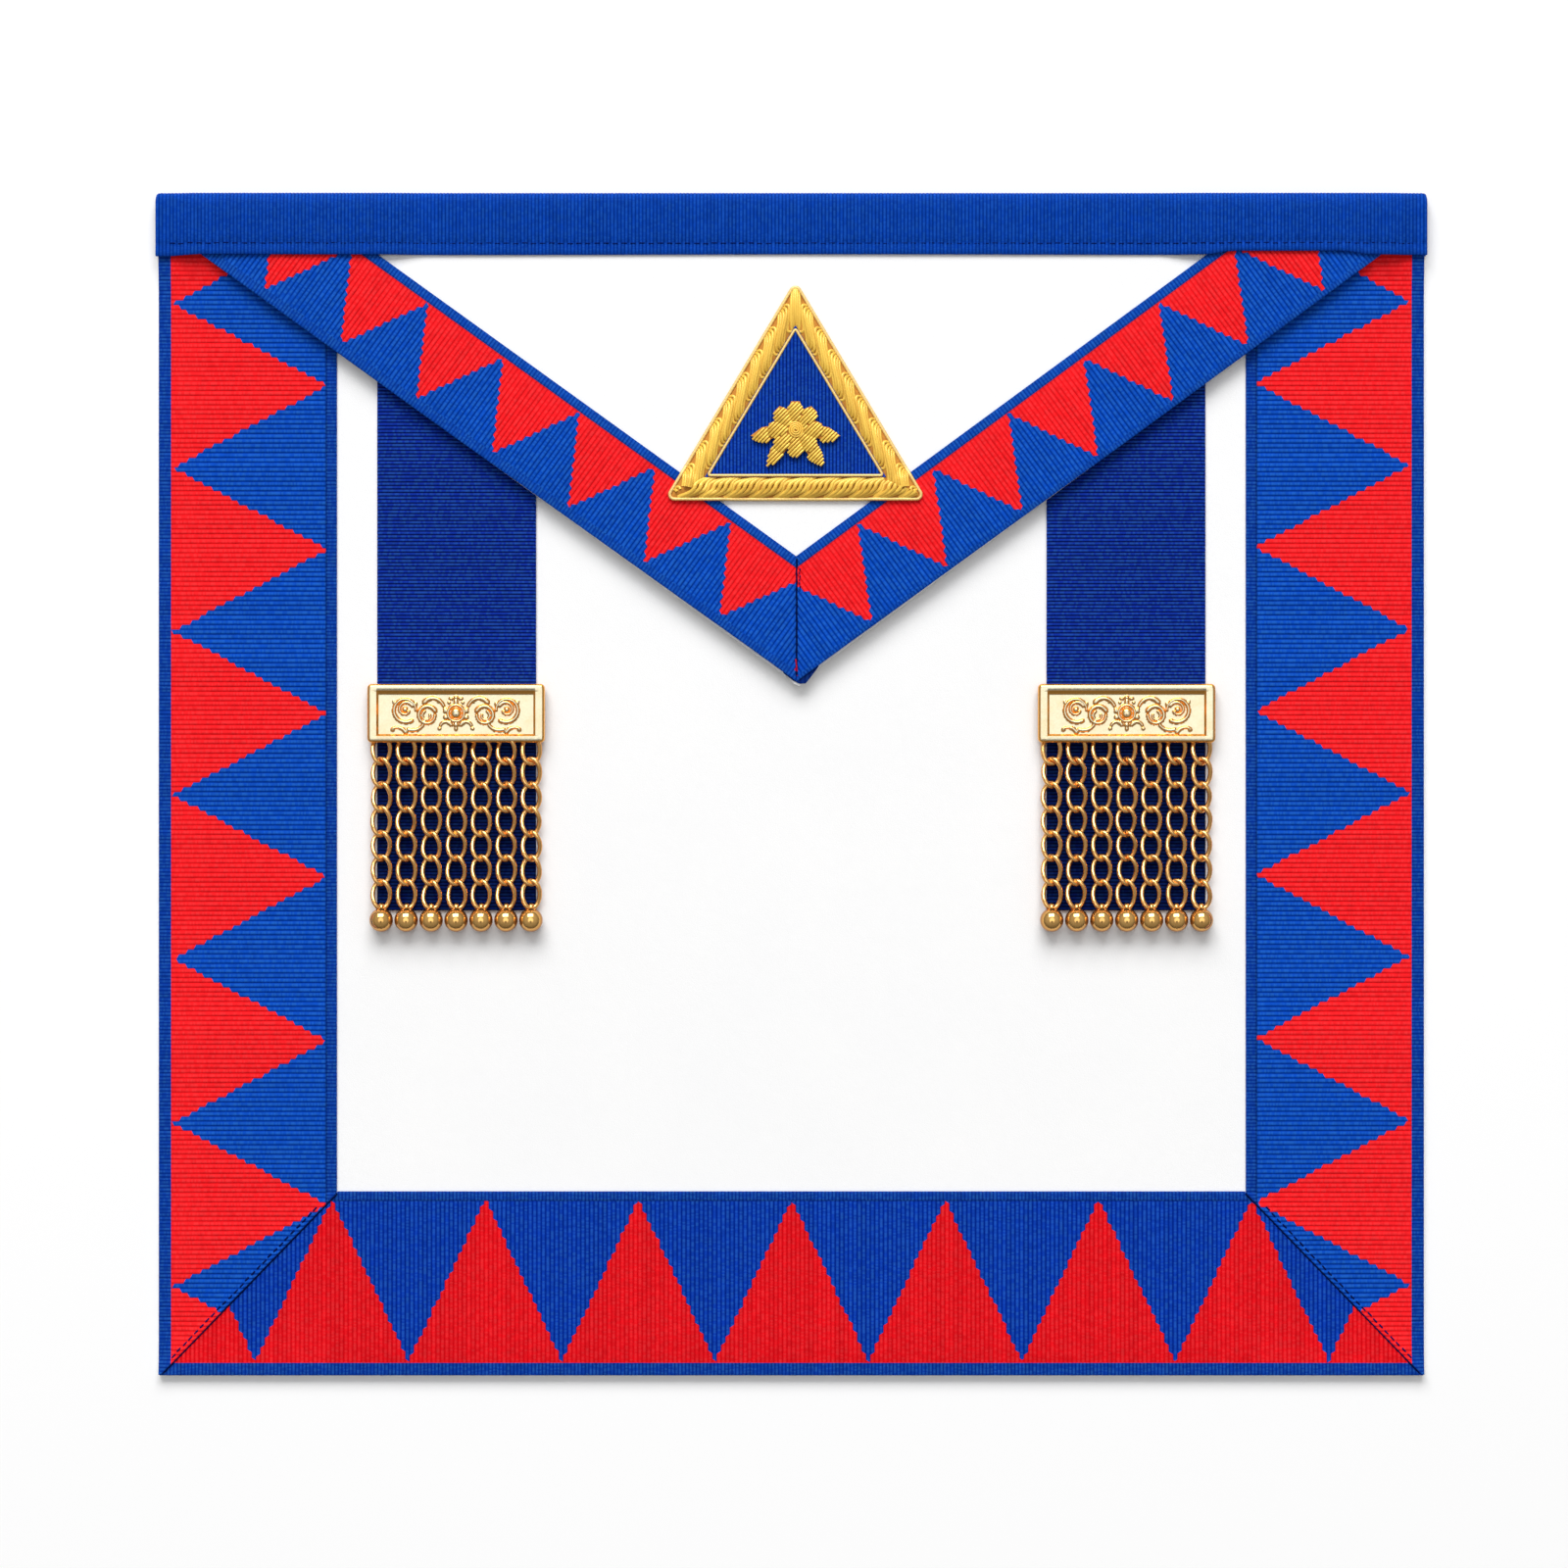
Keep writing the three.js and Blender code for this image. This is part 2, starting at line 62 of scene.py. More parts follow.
LAMP_SIZE = (5.6, 3.6)
LAMP_POWER = 465.0
TABLE_COLOUR = (0.97, 0.97, 0.97, 1)
TABLE_REACH = 12000.0


def pixel_place(across, down):
    """The millimetre place on the apron that a pixel of the picture shows."""
    x = (np.asarray(across, float) - MIDDLE_PIXEL[0]) * PIXEL_COVERS
    return x, (MIDDLE_PIXEL[1] - np.asarray(down, float)) * PIXEL_COVERS


def node(tree, kind, *sources, **settings):
    """A shader node with its settings; each source in turn feeds the input of the same rank."""
    made = tree.nodes.new(kind)
    for key, value in settings.items():
        setattr(made, key, value)
    for socket, source in zip(made.inputs, sources):
        if isinstance(source, bpy.types.NodeSocket):
            tree.links.new(source, socket)
        elif source is not None:
            socket.default_value = source
    return made.outputs[0]


def calc(tree, operation, *sources):
    """One sum, product or other step of arithmetic in a shader."""
    return node(tree, "ShaderNodeMath", *sources, operation=operation)


def step_between(tree, value, low, high, at_low=0.0, at_high=1.0):
    """Runs smoothly from at_low to at_high while the value runs from low to high."""
    return node(tree, "ShaderNodeMapRange", value, low, high, at_low, at_high,
                interpolation_type="SMOOTHSTEP")


camera_data = bpy.data.cameras.new("camera")
camera_data.lens = LENS
camera_data.sensor_width = SENSOR
camera = bpy.data.objects.new("camera", camera_data)
camera_x, camera_y = pixel_place(PICTURE_PIXELS / 2, PICTURE_PIXELS / 2)
camera_rise = PICTURE_PIXELS * PIXEL_COVERS * LENS / SENSOR + SHARPEST_HEIGHT
camera.location = Vector((camera_x, camera_y, camera_rise)) * MM
bpy.context.scene.collection.objects.link(camera)
bpy.context.scene.camera = camera
bpy.context.scene.view_settings.view_transform = "Standard"

room = bpy.data.worlds.new("room")
room.use_nodes = True
bpy.context.scene.world = room
sky = room.node_tree
direction = node(sky, "ShaderNodeTexCoord")
toward = node(sky, "ShaderNodeSeparateXYZ", direction).node.outputs
glow = calc(
    sky, "ADD", step_between(sky, toward[2], *WALL_TO_CEILING, WALL_LIGHT, CEILING_LIGHT),
    step_between(sky, toward[2], *CEILING_TO_OVERHEAD, 0, OVERHEAD_LIGHT - CEILING_LIGHT))
lean = calc(sky, "MULTIPLY_ADD", toward[1], LEAN_TO_WAIST, 1.0)
facing = node(sky, "ShaderNodeVectorMath", direction, CAMERA_SHADE_AT,
              operation="DOT_PRODUCT").node.outputs["Value"]
shade = step_between(sky, facing, *CAMERA_SHADE_EDGE, 1.0, CAMERA_SHADE)
sky.nodes["Background"].inputs[0].default_value = (1.0, 1.0, 1.0, 1)
sky.links.new(calc(sky, "MULTIPLY", calc(sky, "MULTIPLY", glow, lean), shade),
              sky.nodes["Background"].inputs[1])

lamp_data = bpy.data.lights.new("soft_lamp", "AREA")
lamp_data.shape = "RECTANGLE"
lamp_data.size, lamp_data.size_y = LAMP_SIZE
lamp_data.energy = LAMP_POWER
lamp = bpy.data.objects.new("soft_lamp", lamp_data)
lamp.location = LAMP_AT
lamp.rotation_euler = (-Vector(LAMP_AT)).to_track_quat("-Z", "Y").to_euler()
bpy.context.scene.collection.objects.link(lamp)


def make_piece(name, points, faces, finish, weave=None, soft_angle=50):
    """A mesh of points (n, 3) in millimetres and faces (m, 4), where -1 marks a three-cornered
    face's empty place. weave gives each point its place in the cloth or along the thread."""
    points = np.asarray(points, float).reshape(-1, 3)
    corners = faces[faces >= 0].astype(np.int32)
    sizes = (faces >= 0).sum(1)
    mesh = bpy.data.meshes.new(name)
    mesh.vertices.add(len(points))
    mesh.vertices.foreach_set("co", (points * MM).astype(np.float32).ravel())
    mesh.loops.add(len(corners))
    mesh.loops.foreach_set("vertex_index", corners)
    mesh.polygons.add(len(faces))
    starts = np.concatenate([[0], np.cumsum(sizes)[:-1]]).astype(np.int32)
    mesh.polygons.foreach_set("loop_start", starts)
    mesh.update(calc_edges=True)
    if weave is not None:
        layer = mesh.uv_layers.new(name="weave")
        spread = np.asarray(weave, np.float32).reshape(-1, 2)[corners]
        layer.data.foreach_set("uv", spread.ravel())
    mesh.polygons.foreach_set("use_smooth", np.ones(len(faces), bool))
    mesh.set_sharp_from_angle(angle=np.radians(soft_angle))
    mesh.validate()
    mesh.materials.append(finish)
    made = bpy.data.objects.new(name, mesh)
    bpy.context.scene.collection.objects.link(made)
    return made


def new_finish(name, roughness, metallic=0.0, gloss=0.5):
    """A material with its main shader, and its tree for the nodes that feed the shader."""
    finish = bpy.data.materials.new(name)
    finish.use_nodes = True
    shader = finish.node_tree.nodes["Principled BSDF"]
    shader.inputs["Roughness"].default_value = roughness
    shader.inputs["Metallic"].default_value = metallic
    shader.inputs["Specular IOR Level"].default_value = gloss
    return finish, finish.node_tree, shader.inputs


table_finish, _, table_shader = new_finish("pale_table", 0.9, gloss=0.0)
table_shader["Base Color"].default_value = TABLE_COLOUR
table_corners = np.array([[-1, -1, 0], [1, -1, 0], [1, 1, 0], [-1, 1, 0]]) * TABLE_REACH
table = make_piece("table", table_corners, np.array([[0, 1, 2, 3]]), table_finish)

# ---- Kid skin -------------------------------------------------------------------------------
# The apron's body: one piece of white kid leather, 1.2 mm thick, cut square. Its upper edge
# climbs onto the waistband's back layer and is caught in the fold.
SKIN_WIDTH = 406.4
HEM_Y = -189.8
WAIST_Y = 169.8
SKIN_TOP_Y = 186.1
SKIN_THICK = 1.2
LAYER_GAP = 0.15
BAND_RISE = 1.15
RAMP_LENGTH = 14.0
LEVEL_AT_BAND = 0.3
SKIN_EDGE_ROUND = 0.25
HEM_CURL = 0.8
CURL_LENGTH = 16.0


def smooth(share):
    """The share from 0 to 1 with a level start and end: its square times (3 - twice itself)."""
    share = np.clip(share, 0, 1)
    return share ** 2 * (3 - 2 * share)


def climb(y):
    """How far a layer stands up along Y: a smooth ramp onto the waistband's back layer, and a
    curl at the hem that grows with the square of the way into it."""
    ramp = smooth((y - (WAIST_Y - RAMP_LENGTH)) / (RAMP_LENGTH - LEVEL_AT_BAND))
    near_hem = np.clip((HEM_Y + CURL_LENGTH - y) / CURL_LENGTH, 0, 1)
    return BAND_RISE * ramp + HEM_CURL * near_hem ** 2


def places(*parts):
    """Arrays that belong together, brought to one grid: the x, y and z of points, a weave
    map's two numbers, or the corners of faces."""
    return np.stack(np.broadcast_arrays(*parts), -1)


def make_sheet(name, top, bottom, finish, weave=None):
    """A closed sheet between two grids of points (rows, columns, 3), one over the other, with
    a band of faces round their rims. Its faces are turned so that they look away from it."""
    rows, columns = top.shape[:2]
    index = np.arange(rows * columns).reshape(rows, columns)
    upper = places(index[:-1, :-1], index[:-1, 1:], index[1:, 1:], index[1:, :-1])
    upper = upper.reshape(-1, 4)
    rim = np.concatenate([index[0, :-1], index[:-1, -1], index[-1, :0:-1], index[:0:-1, 0]])
    after = np.roll(rim, -1)
    below = rows * columns
    band = places(rim, rim + below, after + below, after)
    faces = np.concatenate([upper, upper[:, ::-1] + below, band])
    along_row = top[:-1, 1:] - top[:-1, :-1]
    along_column = top[1:, :-1] - top[:-1, :-1]
    outward = np.cross(along_row, along_column) * (top - bottom)[:-1, :-1]
    if outward.sum() < 0:
        faces = faces[:, ::-1]
    points = np.concatenate([top.reshape(-1, 3), bottom.reshape(-1, 3)])
    if weave is not None:
        weave = np.concatenate([weave.reshape(-1, 2)] * 2)
    return make_piece(name, points, faces, finish, weave)


def eased(count, edge):
    """Shares from 0 to 1 with an extra line close to each end, where a cut edge is rounded."""
    return np.concatenate([[0], np.linspace(edge, 1 - edge, count), [1]])


def rim_drop(shares_across, shares_along):
    """1 on the rim of a sheet's grid and 0 inside it: where the cut edge is rounded off."""
    across = (shares_across == 0) | (shares_across == 1)
    along = (shares_along == 0) | (shares_along == 1)
    return (across | along).astype(float)


skin_across, skin_along = np.meshgrid(eased(90, 0.0012), eased(84, 0.0012))
skin_x = (skin_across - 0.5) * SKIN_WIDTH
skin_y = HEM_Y + skin_along * (SKIN_TOP_Y - HEM_Y)
# The hide never lies quite flat: two long, shallow waves run across each other
skin_wave = 0.05 * np.sin(skin_x / 31 + skin_y / 57) * np.sin(skin_y / 43 - skin_x / 88)
skin_inside = np.clip(12 * np.minimum.reduce([skin_across, 1 - skin_across, skin_along]), 0, 1)
skin_round = SKIN_EDGE_ROUND * rim_drop(skin_across, skin_along)
skin_base = climb(skin_y)
skin_top = places(skin_x, skin_y, skin_base + SKIN_THICK - skin_round + skin_wave * skin_inside)
skin_bottom = places(skin_x, skin_y, skin_base + 0.5 * skin_round)


def object_place(tree):
    """The place on the object, in metres, for a pattern that runs through the material."""
    return node(tree, "ShaderNodeTexCoord").node.outputs["Object"]


def mixed(tree, share, low, high):
    """The colour that is low where the share is 0 and high where it is 1."""
    return node(tree, "ShaderNodeMix", share, *[None] * 5, low, high,
                data_type="RGBA").node.outputs[2]


def add_bump(tree, shader, height, strength, depth):
    """Relief too fine for the mesh, by shading alone. The depth is in metres."""
    bump = node(tree, "ShaderNodeBump", strength, depth).node
    tree.links.new(height, bump.inputs["Height"])
    tree.links.new(bump.outputs[0], shader["Normal"])


kid_finish, kid_tree, kid_shader = new_finish("white_kid", 0.55, gloss=0.15)
kid_place = object_place(kid_tree)
kid_cloud = node(kid_tree, "ShaderNodeTexNoise", kid_place, None, 22.0, 4.0)
kid_colour = mixed(kid_tree, kid_cloud, (0.925, 0.927, 0.932, 1), (0.965, 0.962, 0.958, 1))
kid_tree.links.new(kid_colour, kid_shader["Base Color"])
kid_pores = node(kid_tree, "ShaderNodeTexVoronoi", kid_place, None, 1500.0,
                 feature="DISTANCE_TO_EDGE")
kid_creases = node(kid_tree, "ShaderNodeTexNoise", kid_place, None, 260.0, 5.0)
kid_grain = calc(kid_tree, "MULTIPLY_ADD", step_between(kid_tree, kid_pores, 0.0, 0.12), 0.4,
                 kid_creases)
add_bump(kid_tree, kid_shader, kid_grain, 0.35, 0.00012)
kid_tree.links.new(step_between(kid_tree, kid_creases, 0.3, 0.7, 0.48, 0.66),
                   kid_shader["Roughness"])

apron_skin = make_sheet("kid_skin", skin_top, skin_bottom, kid_finish)
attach(apron_skin, "root")
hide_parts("apron_skin")

# ---- Toothed border ribbons -----------------------------------------------------------------
# A woven ribbon, 57 to 59 mm wide, is sewn along both sides and the hem. Its weft makes ribs
# across it. Red teeth stand on the outer stripe, and every rib ends a tooth one step later.
# The ribbon turns each lower corner in a mitre, where the side strip lies on the hem strip.
BORDER_WIDTH = 57.2
HEM_WIDTH = 59.0
RIBBON_THICK = 1.0
MITRE_GAP = 0.3
ON_SKIN = SKIN_THICK + LAYER_GAP
BORDER_RIB = 1.53
HEM_RIB = 1.41
STRIPE_RIB = 1.15
RIB_DEPTH = 0.26
STRIPE_RIB_SHARE = 0.3  # the stripes are woven flatter
FOLD_LIFT = 0.75  # the folded end of the side strip above the hem strip
FOLD_LAP = 0.8
TOOTH_PITCH = 167.3 * PIXEL_COVERS
LEFT_TOOTH_Y = pixel_place(0, 727.9)[1]
RIGHT_TOOTH_Y = pixel_place(0, 725.4)[1]
HEM_TOOTH_PITCH = 156.5 * PIXEL_COVERS
HEM_TOOTH_X = pixel_place(808, 0)[0]
RIB_PLACES = np.array([0.0, 0.14, 0.37, 0.63, 0.86])
RIB_HEIGHTS = np.array([0.0, 0.66, 0.98, 0.98, 0.66])
chance = np.random.default_rng(11)


def dye(red, green, blue):
    """A linear colour from the 0 to 255 numbers that a screen shows."""
    share = np.array([red, green, blue]) / 255
    linear = np.where(share <= 0.04045, share / 12.92, ((share + 0.055) / 1.055) ** 2.4)
    return (*linear.tolist(), 1)


TOOTH_RED = dye(238, 24, 31)
CLOTH_BLUE = dye(1, 64, 176)
STRIPE_BLUE = dye(2, 48, 150)
CLOTH_GLOSS = 0.02  # dyed ribbon hardly shines when seen from above
BLUE_GLINT_PAINT = (0.2, 0.95, 1.0)  # the tint of the glint painted on the silk's ridges
RED_GLINT_PAINT = (0.5, 0.36, 0.36)
BLUE_GROOVE_SHADE = 0.76  # painted shade: how much of the dye is left in a groove
RED_GROOVE_SHADE = 0.9
STEP_ON_RIB = 0.3  # the part of a tooth's step that falls along a rib's own width
UNEVEN_TOOTH = 0.02
INNER_LINE_SHADE = 0.6
EDGE_FALL = 0.24


def ribs(start, end, pitch, places=RIB_PLACES, heights=RIB_HEIGHTS):
    """Lines across a ribbon between two places on its length, some to each rib: where each
    line is, its number in ribs, and its height from 0 in a groove to 1 on a rib."""
    count = int(round((end - start) / pitch))
    number = (np.arange(count)[:, None] + places).ravel()
    uneven = 1 + 0.16 * (chance.random((count, 1)) - 0.5)
    height = (heights * uneven).ravel()
    number = np.append(number, count)
    height = np.append(height, 0.0)
    return start + number * (end - start) / count, number, height


def stripe_share(across, outer, inner, width):
    """Rib height across a ribbon: low in the stripes along its two edges, full between."""
    step = 0.5
    full = np.clip((across - outer) / step, 0, 1) * np.clip((width - inner - across) / step, 0, 1)
    return STRIPE_RIB_SHARE + (1 - STRIPE_RIB_SHARE) * full


def edge_fall(across, width):
    """How far a woven edge is rounded down: it dies away from the nearer edge, inwards."""
    near = np.minimum(across, width - across)
    return EDGE_FALL * np.exp(-np.maximum(near, 0) / 0.22)


def weave_place(tree):
    """The weave map's two numbers: millimetres across or along, and the rib's or thread's."""
    weave = node(tree, "ShaderNodeUVMap", uv_map="weave")
    return node(tree, "ShaderNodeSeparateXYZ", weave).node.outputs


def random_of(tree, number):
    """A steady random share that belongs to a whole number, such as a rib's."""
    own = node(tree, "ShaderNodeTexWhiteNoise", noise_dimensions="1D").node
    tree.links.new(number, own.inputs["W"])
    return own.outputs["Value"]


def toothed_finish(name, rib_number_at, tooth_ribs, outer, inner, width, rib_length,
                   base_inside=False, dyes=(STRIPE_BLUE, CLOTH_BLUE, TOOTH_RED)):
    """Woven ribbon. The weave map gives millimetres from the outer edge and ribs along it.
    A rib is red as far as (1 - distance to the tooth's middle / half a tooth) of the way
    from the stripe that the teeth stand on. The colour changes mostly in a step at each rib
    and a little along the rib's own width, which leaves the teeth finely stepped."""
    finish, tree, shader = new_finish(name, 0.6, gloss=CLOTH_GLOSS)
    place = weave_place(tree)
    rib = calc(tree, "FLOOR", place[1])
    uneven = random_of(tree, rib)
    by_rib = 1 - STEP_ON_RIB
    middle = calc(tree, "MULTIPLY_ADD", place[1], STEP_ON_RIB,
                  calc(tree, "MULTIPLY_ADD", rib, by_rib, by_rib / 2 - rib_number_at))
    turns = calc(tree, "DIVIDE", middle, tooth_ribs)
    away = calc(tree, "PINGPONG", turns, 0.5)
    reach = calc(tree, "MULTIPLY_ADD", away, -2.0, 1.0)
    reach = calc(tree, "MULTIPLY_ADD", uneven, UNEVEN_TOOTH, reach)
    if base_inside:
        from_base = calc(tree, "SUBTRACT", width - inner, place[0])
    else:
        from_base = calc(tree, "SUBTRACT", place[0], outer)
    share = calc(tree, "DIVIDE", from_base, width - outer - inner)
    is_red = calc(tree, "MULTIPLY", calc(tree, "LESS_THAN", share, reach),
                  calc(tree, "GREATER_THAN", share, 0.0))
    inside = calc(tree, "MULTIPLY", calc(tree, "GREATER_THAN", place[0], outer),
                  calc(tree, "LESS_THAN", place[0], width - inner))
    red_there = calc(tree, "MULTIPLY", is_red, inside)
    cloth = mixed(tree, red_there, mixed(tree, inside, *dyes[:2]), dyes[2])
    # Painted highlight tint and painted groove shade, one each for the blue and the red
    painted_glint_tint = mixed(tree, red_there, (*BLUE_GLINT_PAINT, 1), (*RED_GLINT_PAINT, 1))
    groove = calc(tree, "MULTIPLY_ADD", red_there, RED_GROOVE_SHADE - BLUE_GROOVE_SHADE, BLUE_GROOVE_SHADE)
    # The stripes have their own finer ribs, and painted shade makes a dark line along the inner
    # one, where it meets the field
    finer = calc(tree, "FRACT", calc(tree, "MULTIPLY", place[1], rib_length / STRIPE_RIB))
    coarse = calc(tree, "MULTIPLY", calc(tree, "FRACT", place[1]), inside)
    in_rib = calc(tree, "MULTIPLY_ADD", finer, calc(tree, "SUBTRACT", 1.0, inside), coarse)
    from_line = calc(tree, "ABSOLUTE", calc(tree, "SUBTRACT", place[0], width - inner + 0.1))
    line_shade = step_between(tree, from_line, 0.1, 0.6, INNER_LINE_SHADE, 1.0)
    finish_weave(tree, shader, place, rib, in_rib, line_shade, uneven, cloth,
                 (groove, 1.08, 0.036), painted_glint_tint)
    return finish


def finish_weave(tree, shader, place, rib, in_rib, shade, uneven, colour, look,
                 painted_glint_tint=BLUE_GLINT_PAINT, crossing_length=0.5):
    """Thread detail of a ribbed cloth. look gives the dye's share under painted shade in a groove
    and under painted highlight on a ridge, and the strength of the glint painted on the ridges.
    Ribs differ a little, threads cross them, each crossing gets a painted glint of its own, and a
    faint mottle shows where the silk is rubbed."""
    in_groove, on_ridge, glint = look
    # Painted shade in the grooves and painted highlight on the ridges: the dye is scaled from
    # in_groove to on_ridge across each rib
    from_middle = calc(tree, "ABSOLUTE", calc(tree, "SUBTRACT", in_rib, 0.5))
    ridge = step_between(tree, from_middle, 0.5, 0.1)
    deeper = calc(tree, "SUBTRACT", on_ridge, in_groove)
    depth = calc(tree, "MULTIPLY_ADD", ridge, deeper, in_groove)
    depth = calc(tree, "MULTIPLY", depth, calc(tree, "MULTIPLY_ADD", uneven, 0.14, 0.93))
    mottle = node(tree, "ShaderNodeTexNoise", object_place(tree), None, 420.0, 3.0)
    depth = calc(tree, "MULTIPLY", depth, step_between(tree, mottle, 0.25, 0.75, 0.9, 1.08))
    depth = calc(tree, "MULTIPLY", depth, shade)
    # Painted glints: each thread crossing on a ridge adds its own share of the glint tint
    thread = calc(tree, "MULTIPLY_ADD", rib, 0.5, calc(tree, "DIVIDE", place[0], crossing_length))
    crossing = node(tree, "ShaderNodeTexWhiteNoise", node(
        tree, "ShaderNodeCombineXYZ", calc(tree, "FLOOR", thread), rib),
        noise_dimensions="2D").node
    painted_glint = step_between(tree, crossing.outputs["Value"], 0.1, 0.95, 0.5 * glint, 1.6 * glint)
    painted_glint = calc(tree, "MULTIPLY", calc(tree, "MULTIPLY", ridge, shade), painted_glint)
    dyed = node(tree, "ShaderNodeVectorMath", colour, operation="SCALE").node
    tree.links.new(depth, dyed.inputs["Scale"])
    lit = node(tree, "ShaderNodeVectorMath", painted_glint, painted_glint_tint, dyed.outputs[0],
               operation="MULTIPLY_ADD")
    tree.links.new(lit, shader["Base Color"])
    add_bump(tree, shader, calc(tree, "PINGPONG", thread, 0.5), 0.5, 0.00008)


SIDE_OUTER_STRIPE = 4.0
SIDE_INNER_STRIPE = 3.5
HEM_OUTER_STRIPE = 4.0
HEM_INNER_STRIPE = 3.0
HEM_SHADED_DYES = (dye(2, 46, 148), dye(1, 46, 164), dye(222, 8, 22))  # darker copies of the dyes, painted shade, as the hem faces less light
strip_low = HEM_Y + MITRE_GAP
side_along, side_number, side_height = ribs(strip_low, SKIN_TOP_Y, BORDER_RIB)
side_tooth_ribs = TOOTH_PITCH / ((SKIN_TOP_Y - strip_low) / side_number[-1])
BORDER_LINES = np.array([0, 0.25, 0.9, 3.9, 4.4, 16, 28.6, 41, 51, 53.2, 53.8, 54.5, 55.4,
                         56.3, 56.9, 57.2])


def side_strip(side, name, node_name, tooth_y):
    """One side strip. Rows follow the ribs, at one Y each. Below the inner corner a row ends
    on the mitre, where the strip is folded under and stands a little over the hem strip."""
    whole = np.clip((side_along - strip_low) / HEM_WIDTH, 0, 1) * BORDER_WIDTH
    lapped = whole + np.where(whole < BORDER_WIDTH, FOLD_LAP, 0)
    lapped = np.clip(lapped, 0.3, BORDER_WIDTH)
    across = BORDER_LINES[None, :] / BORDER_WIDTH * lapped[:, None]
    along = side_along[:, None]
    x = side * (SKIN_WIDTH / 2 - across)
    rib = side_height[:, None] * stripe_share(across, SIDE_OUTER_STRIPE, SIDE_INNER_STRIPE,
                                              BORDER_WIDTH)
    from_fold = np.maximum(lapped[:, None] - across, 0) * 0.72
    folded = (lapped < BORDER_WIDTH)[:, None] * np.exp(-(from_fold / 1.6) ** 2)
    base = ON_SKIN + climb(along)
    swell = 0.06 * np.sin(along / 19 + side) * np.sin(np.pi * across / BORDER_WIDTH)
    top_z = base + RIBBON_THICK - RIB_DEPTH * (1 - rib) + FOLD_LIFT * folded + swell
    top_z = top_z - edge_fall(across, lapped[:, None])
    bottom_z = base + (RIBBON_THICK - 0.25) * folded * (from_fold < 1.2)
    bottom_z = np.minimum(bottom_z, top_z - 0.1)
    number_at = (tooth_y - strip_low) / (SKIN_TOP_Y - strip_low) * side_number[-1]
    finish = toothed_finish(name + "_cloth", number_at, side_tooth_ribs, SIDE_OUTER_STRIPE,
                            SIDE_INNER_STRIPE, BORDER_WIDTH, BORDER_RIB)
    strip = make_sheet(name, places(x, along, top_z), places(x, along, bottom_z), finish,
                       places(across, side_number[:, None]))
    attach(strip, "root")
    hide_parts(node_name)
    return strip


left_strip = side_strip(-1, "side_strip_left", "border_ribbon_left", LEFT_TOOTH_Y)
right_strip = side_strip(1, "side_strip_right", "border_ribbon_right", RIGHT_TOOTH_Y)

hem_half = SKIN_WIDTH / 2 - MITRE_GAP
hem_along, hem_number, hem_height = ribs(-hem_half, hem_half, HEM_RIB)
hem_width = np.clip((hem_half - np.abs(hem_along)) / BORDER_WIDTH, 0.004, 1) * HEM_WIDTH
hem_across = BORDER_LINES[None, :] / BORDER_WIDTH * hem_width[:, None]
hem_x = hem_along[:, None]
hem_rib = hem_height[:, None] * stripe_share(
    hem_across, HEM_OUTER_STRIPE, HEM_INNER_STRIPE, HEM_WIDTH)
hem_swell = 0.06 * np.sin(hem_x / 23) * np.sin(np.pi * hem_across / HEM_WIDTH)
hem_y = HEM_Y + hem_across
hem_base = ON_SKIN + climb(hem_y)
hem_top_z = (hem_base + RIBBON_THICK - RIB_DEPTH * (1 - hem_rib) + hem_swell
             - edge_fall(hem_across, hem_width[:, None]))
hem_tooth_ribs = HEM_TOOTH_PITCH / (2 * hem_half / hem_number[-1])
hem_number_at = (HEM_TOOTH_X + hem_half) / (2 * hem_half) * hem_number[-1]
hem_finish = toothed_finish(
    "hem_cloth", hem_number_at, hem_tooth_ribs, HEM_OUTER_STRIPE, HEM_INNER_STRIPE, HEM_WIDTH,
    HEM_RIB, dyes=HEM_SHADED_DYES)
hem_strip = make_sheet("hem_strip", places(hem_x, hem_y, hem_top_z),
                       places(hem_x, hem_y, np.minimum(hem_base, hem_top_z - 0.1)), hem_finish,
                       places(hem_across, hem_number[:, None]))
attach(hem_strip, "root")
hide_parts("border_ribbon_hem")


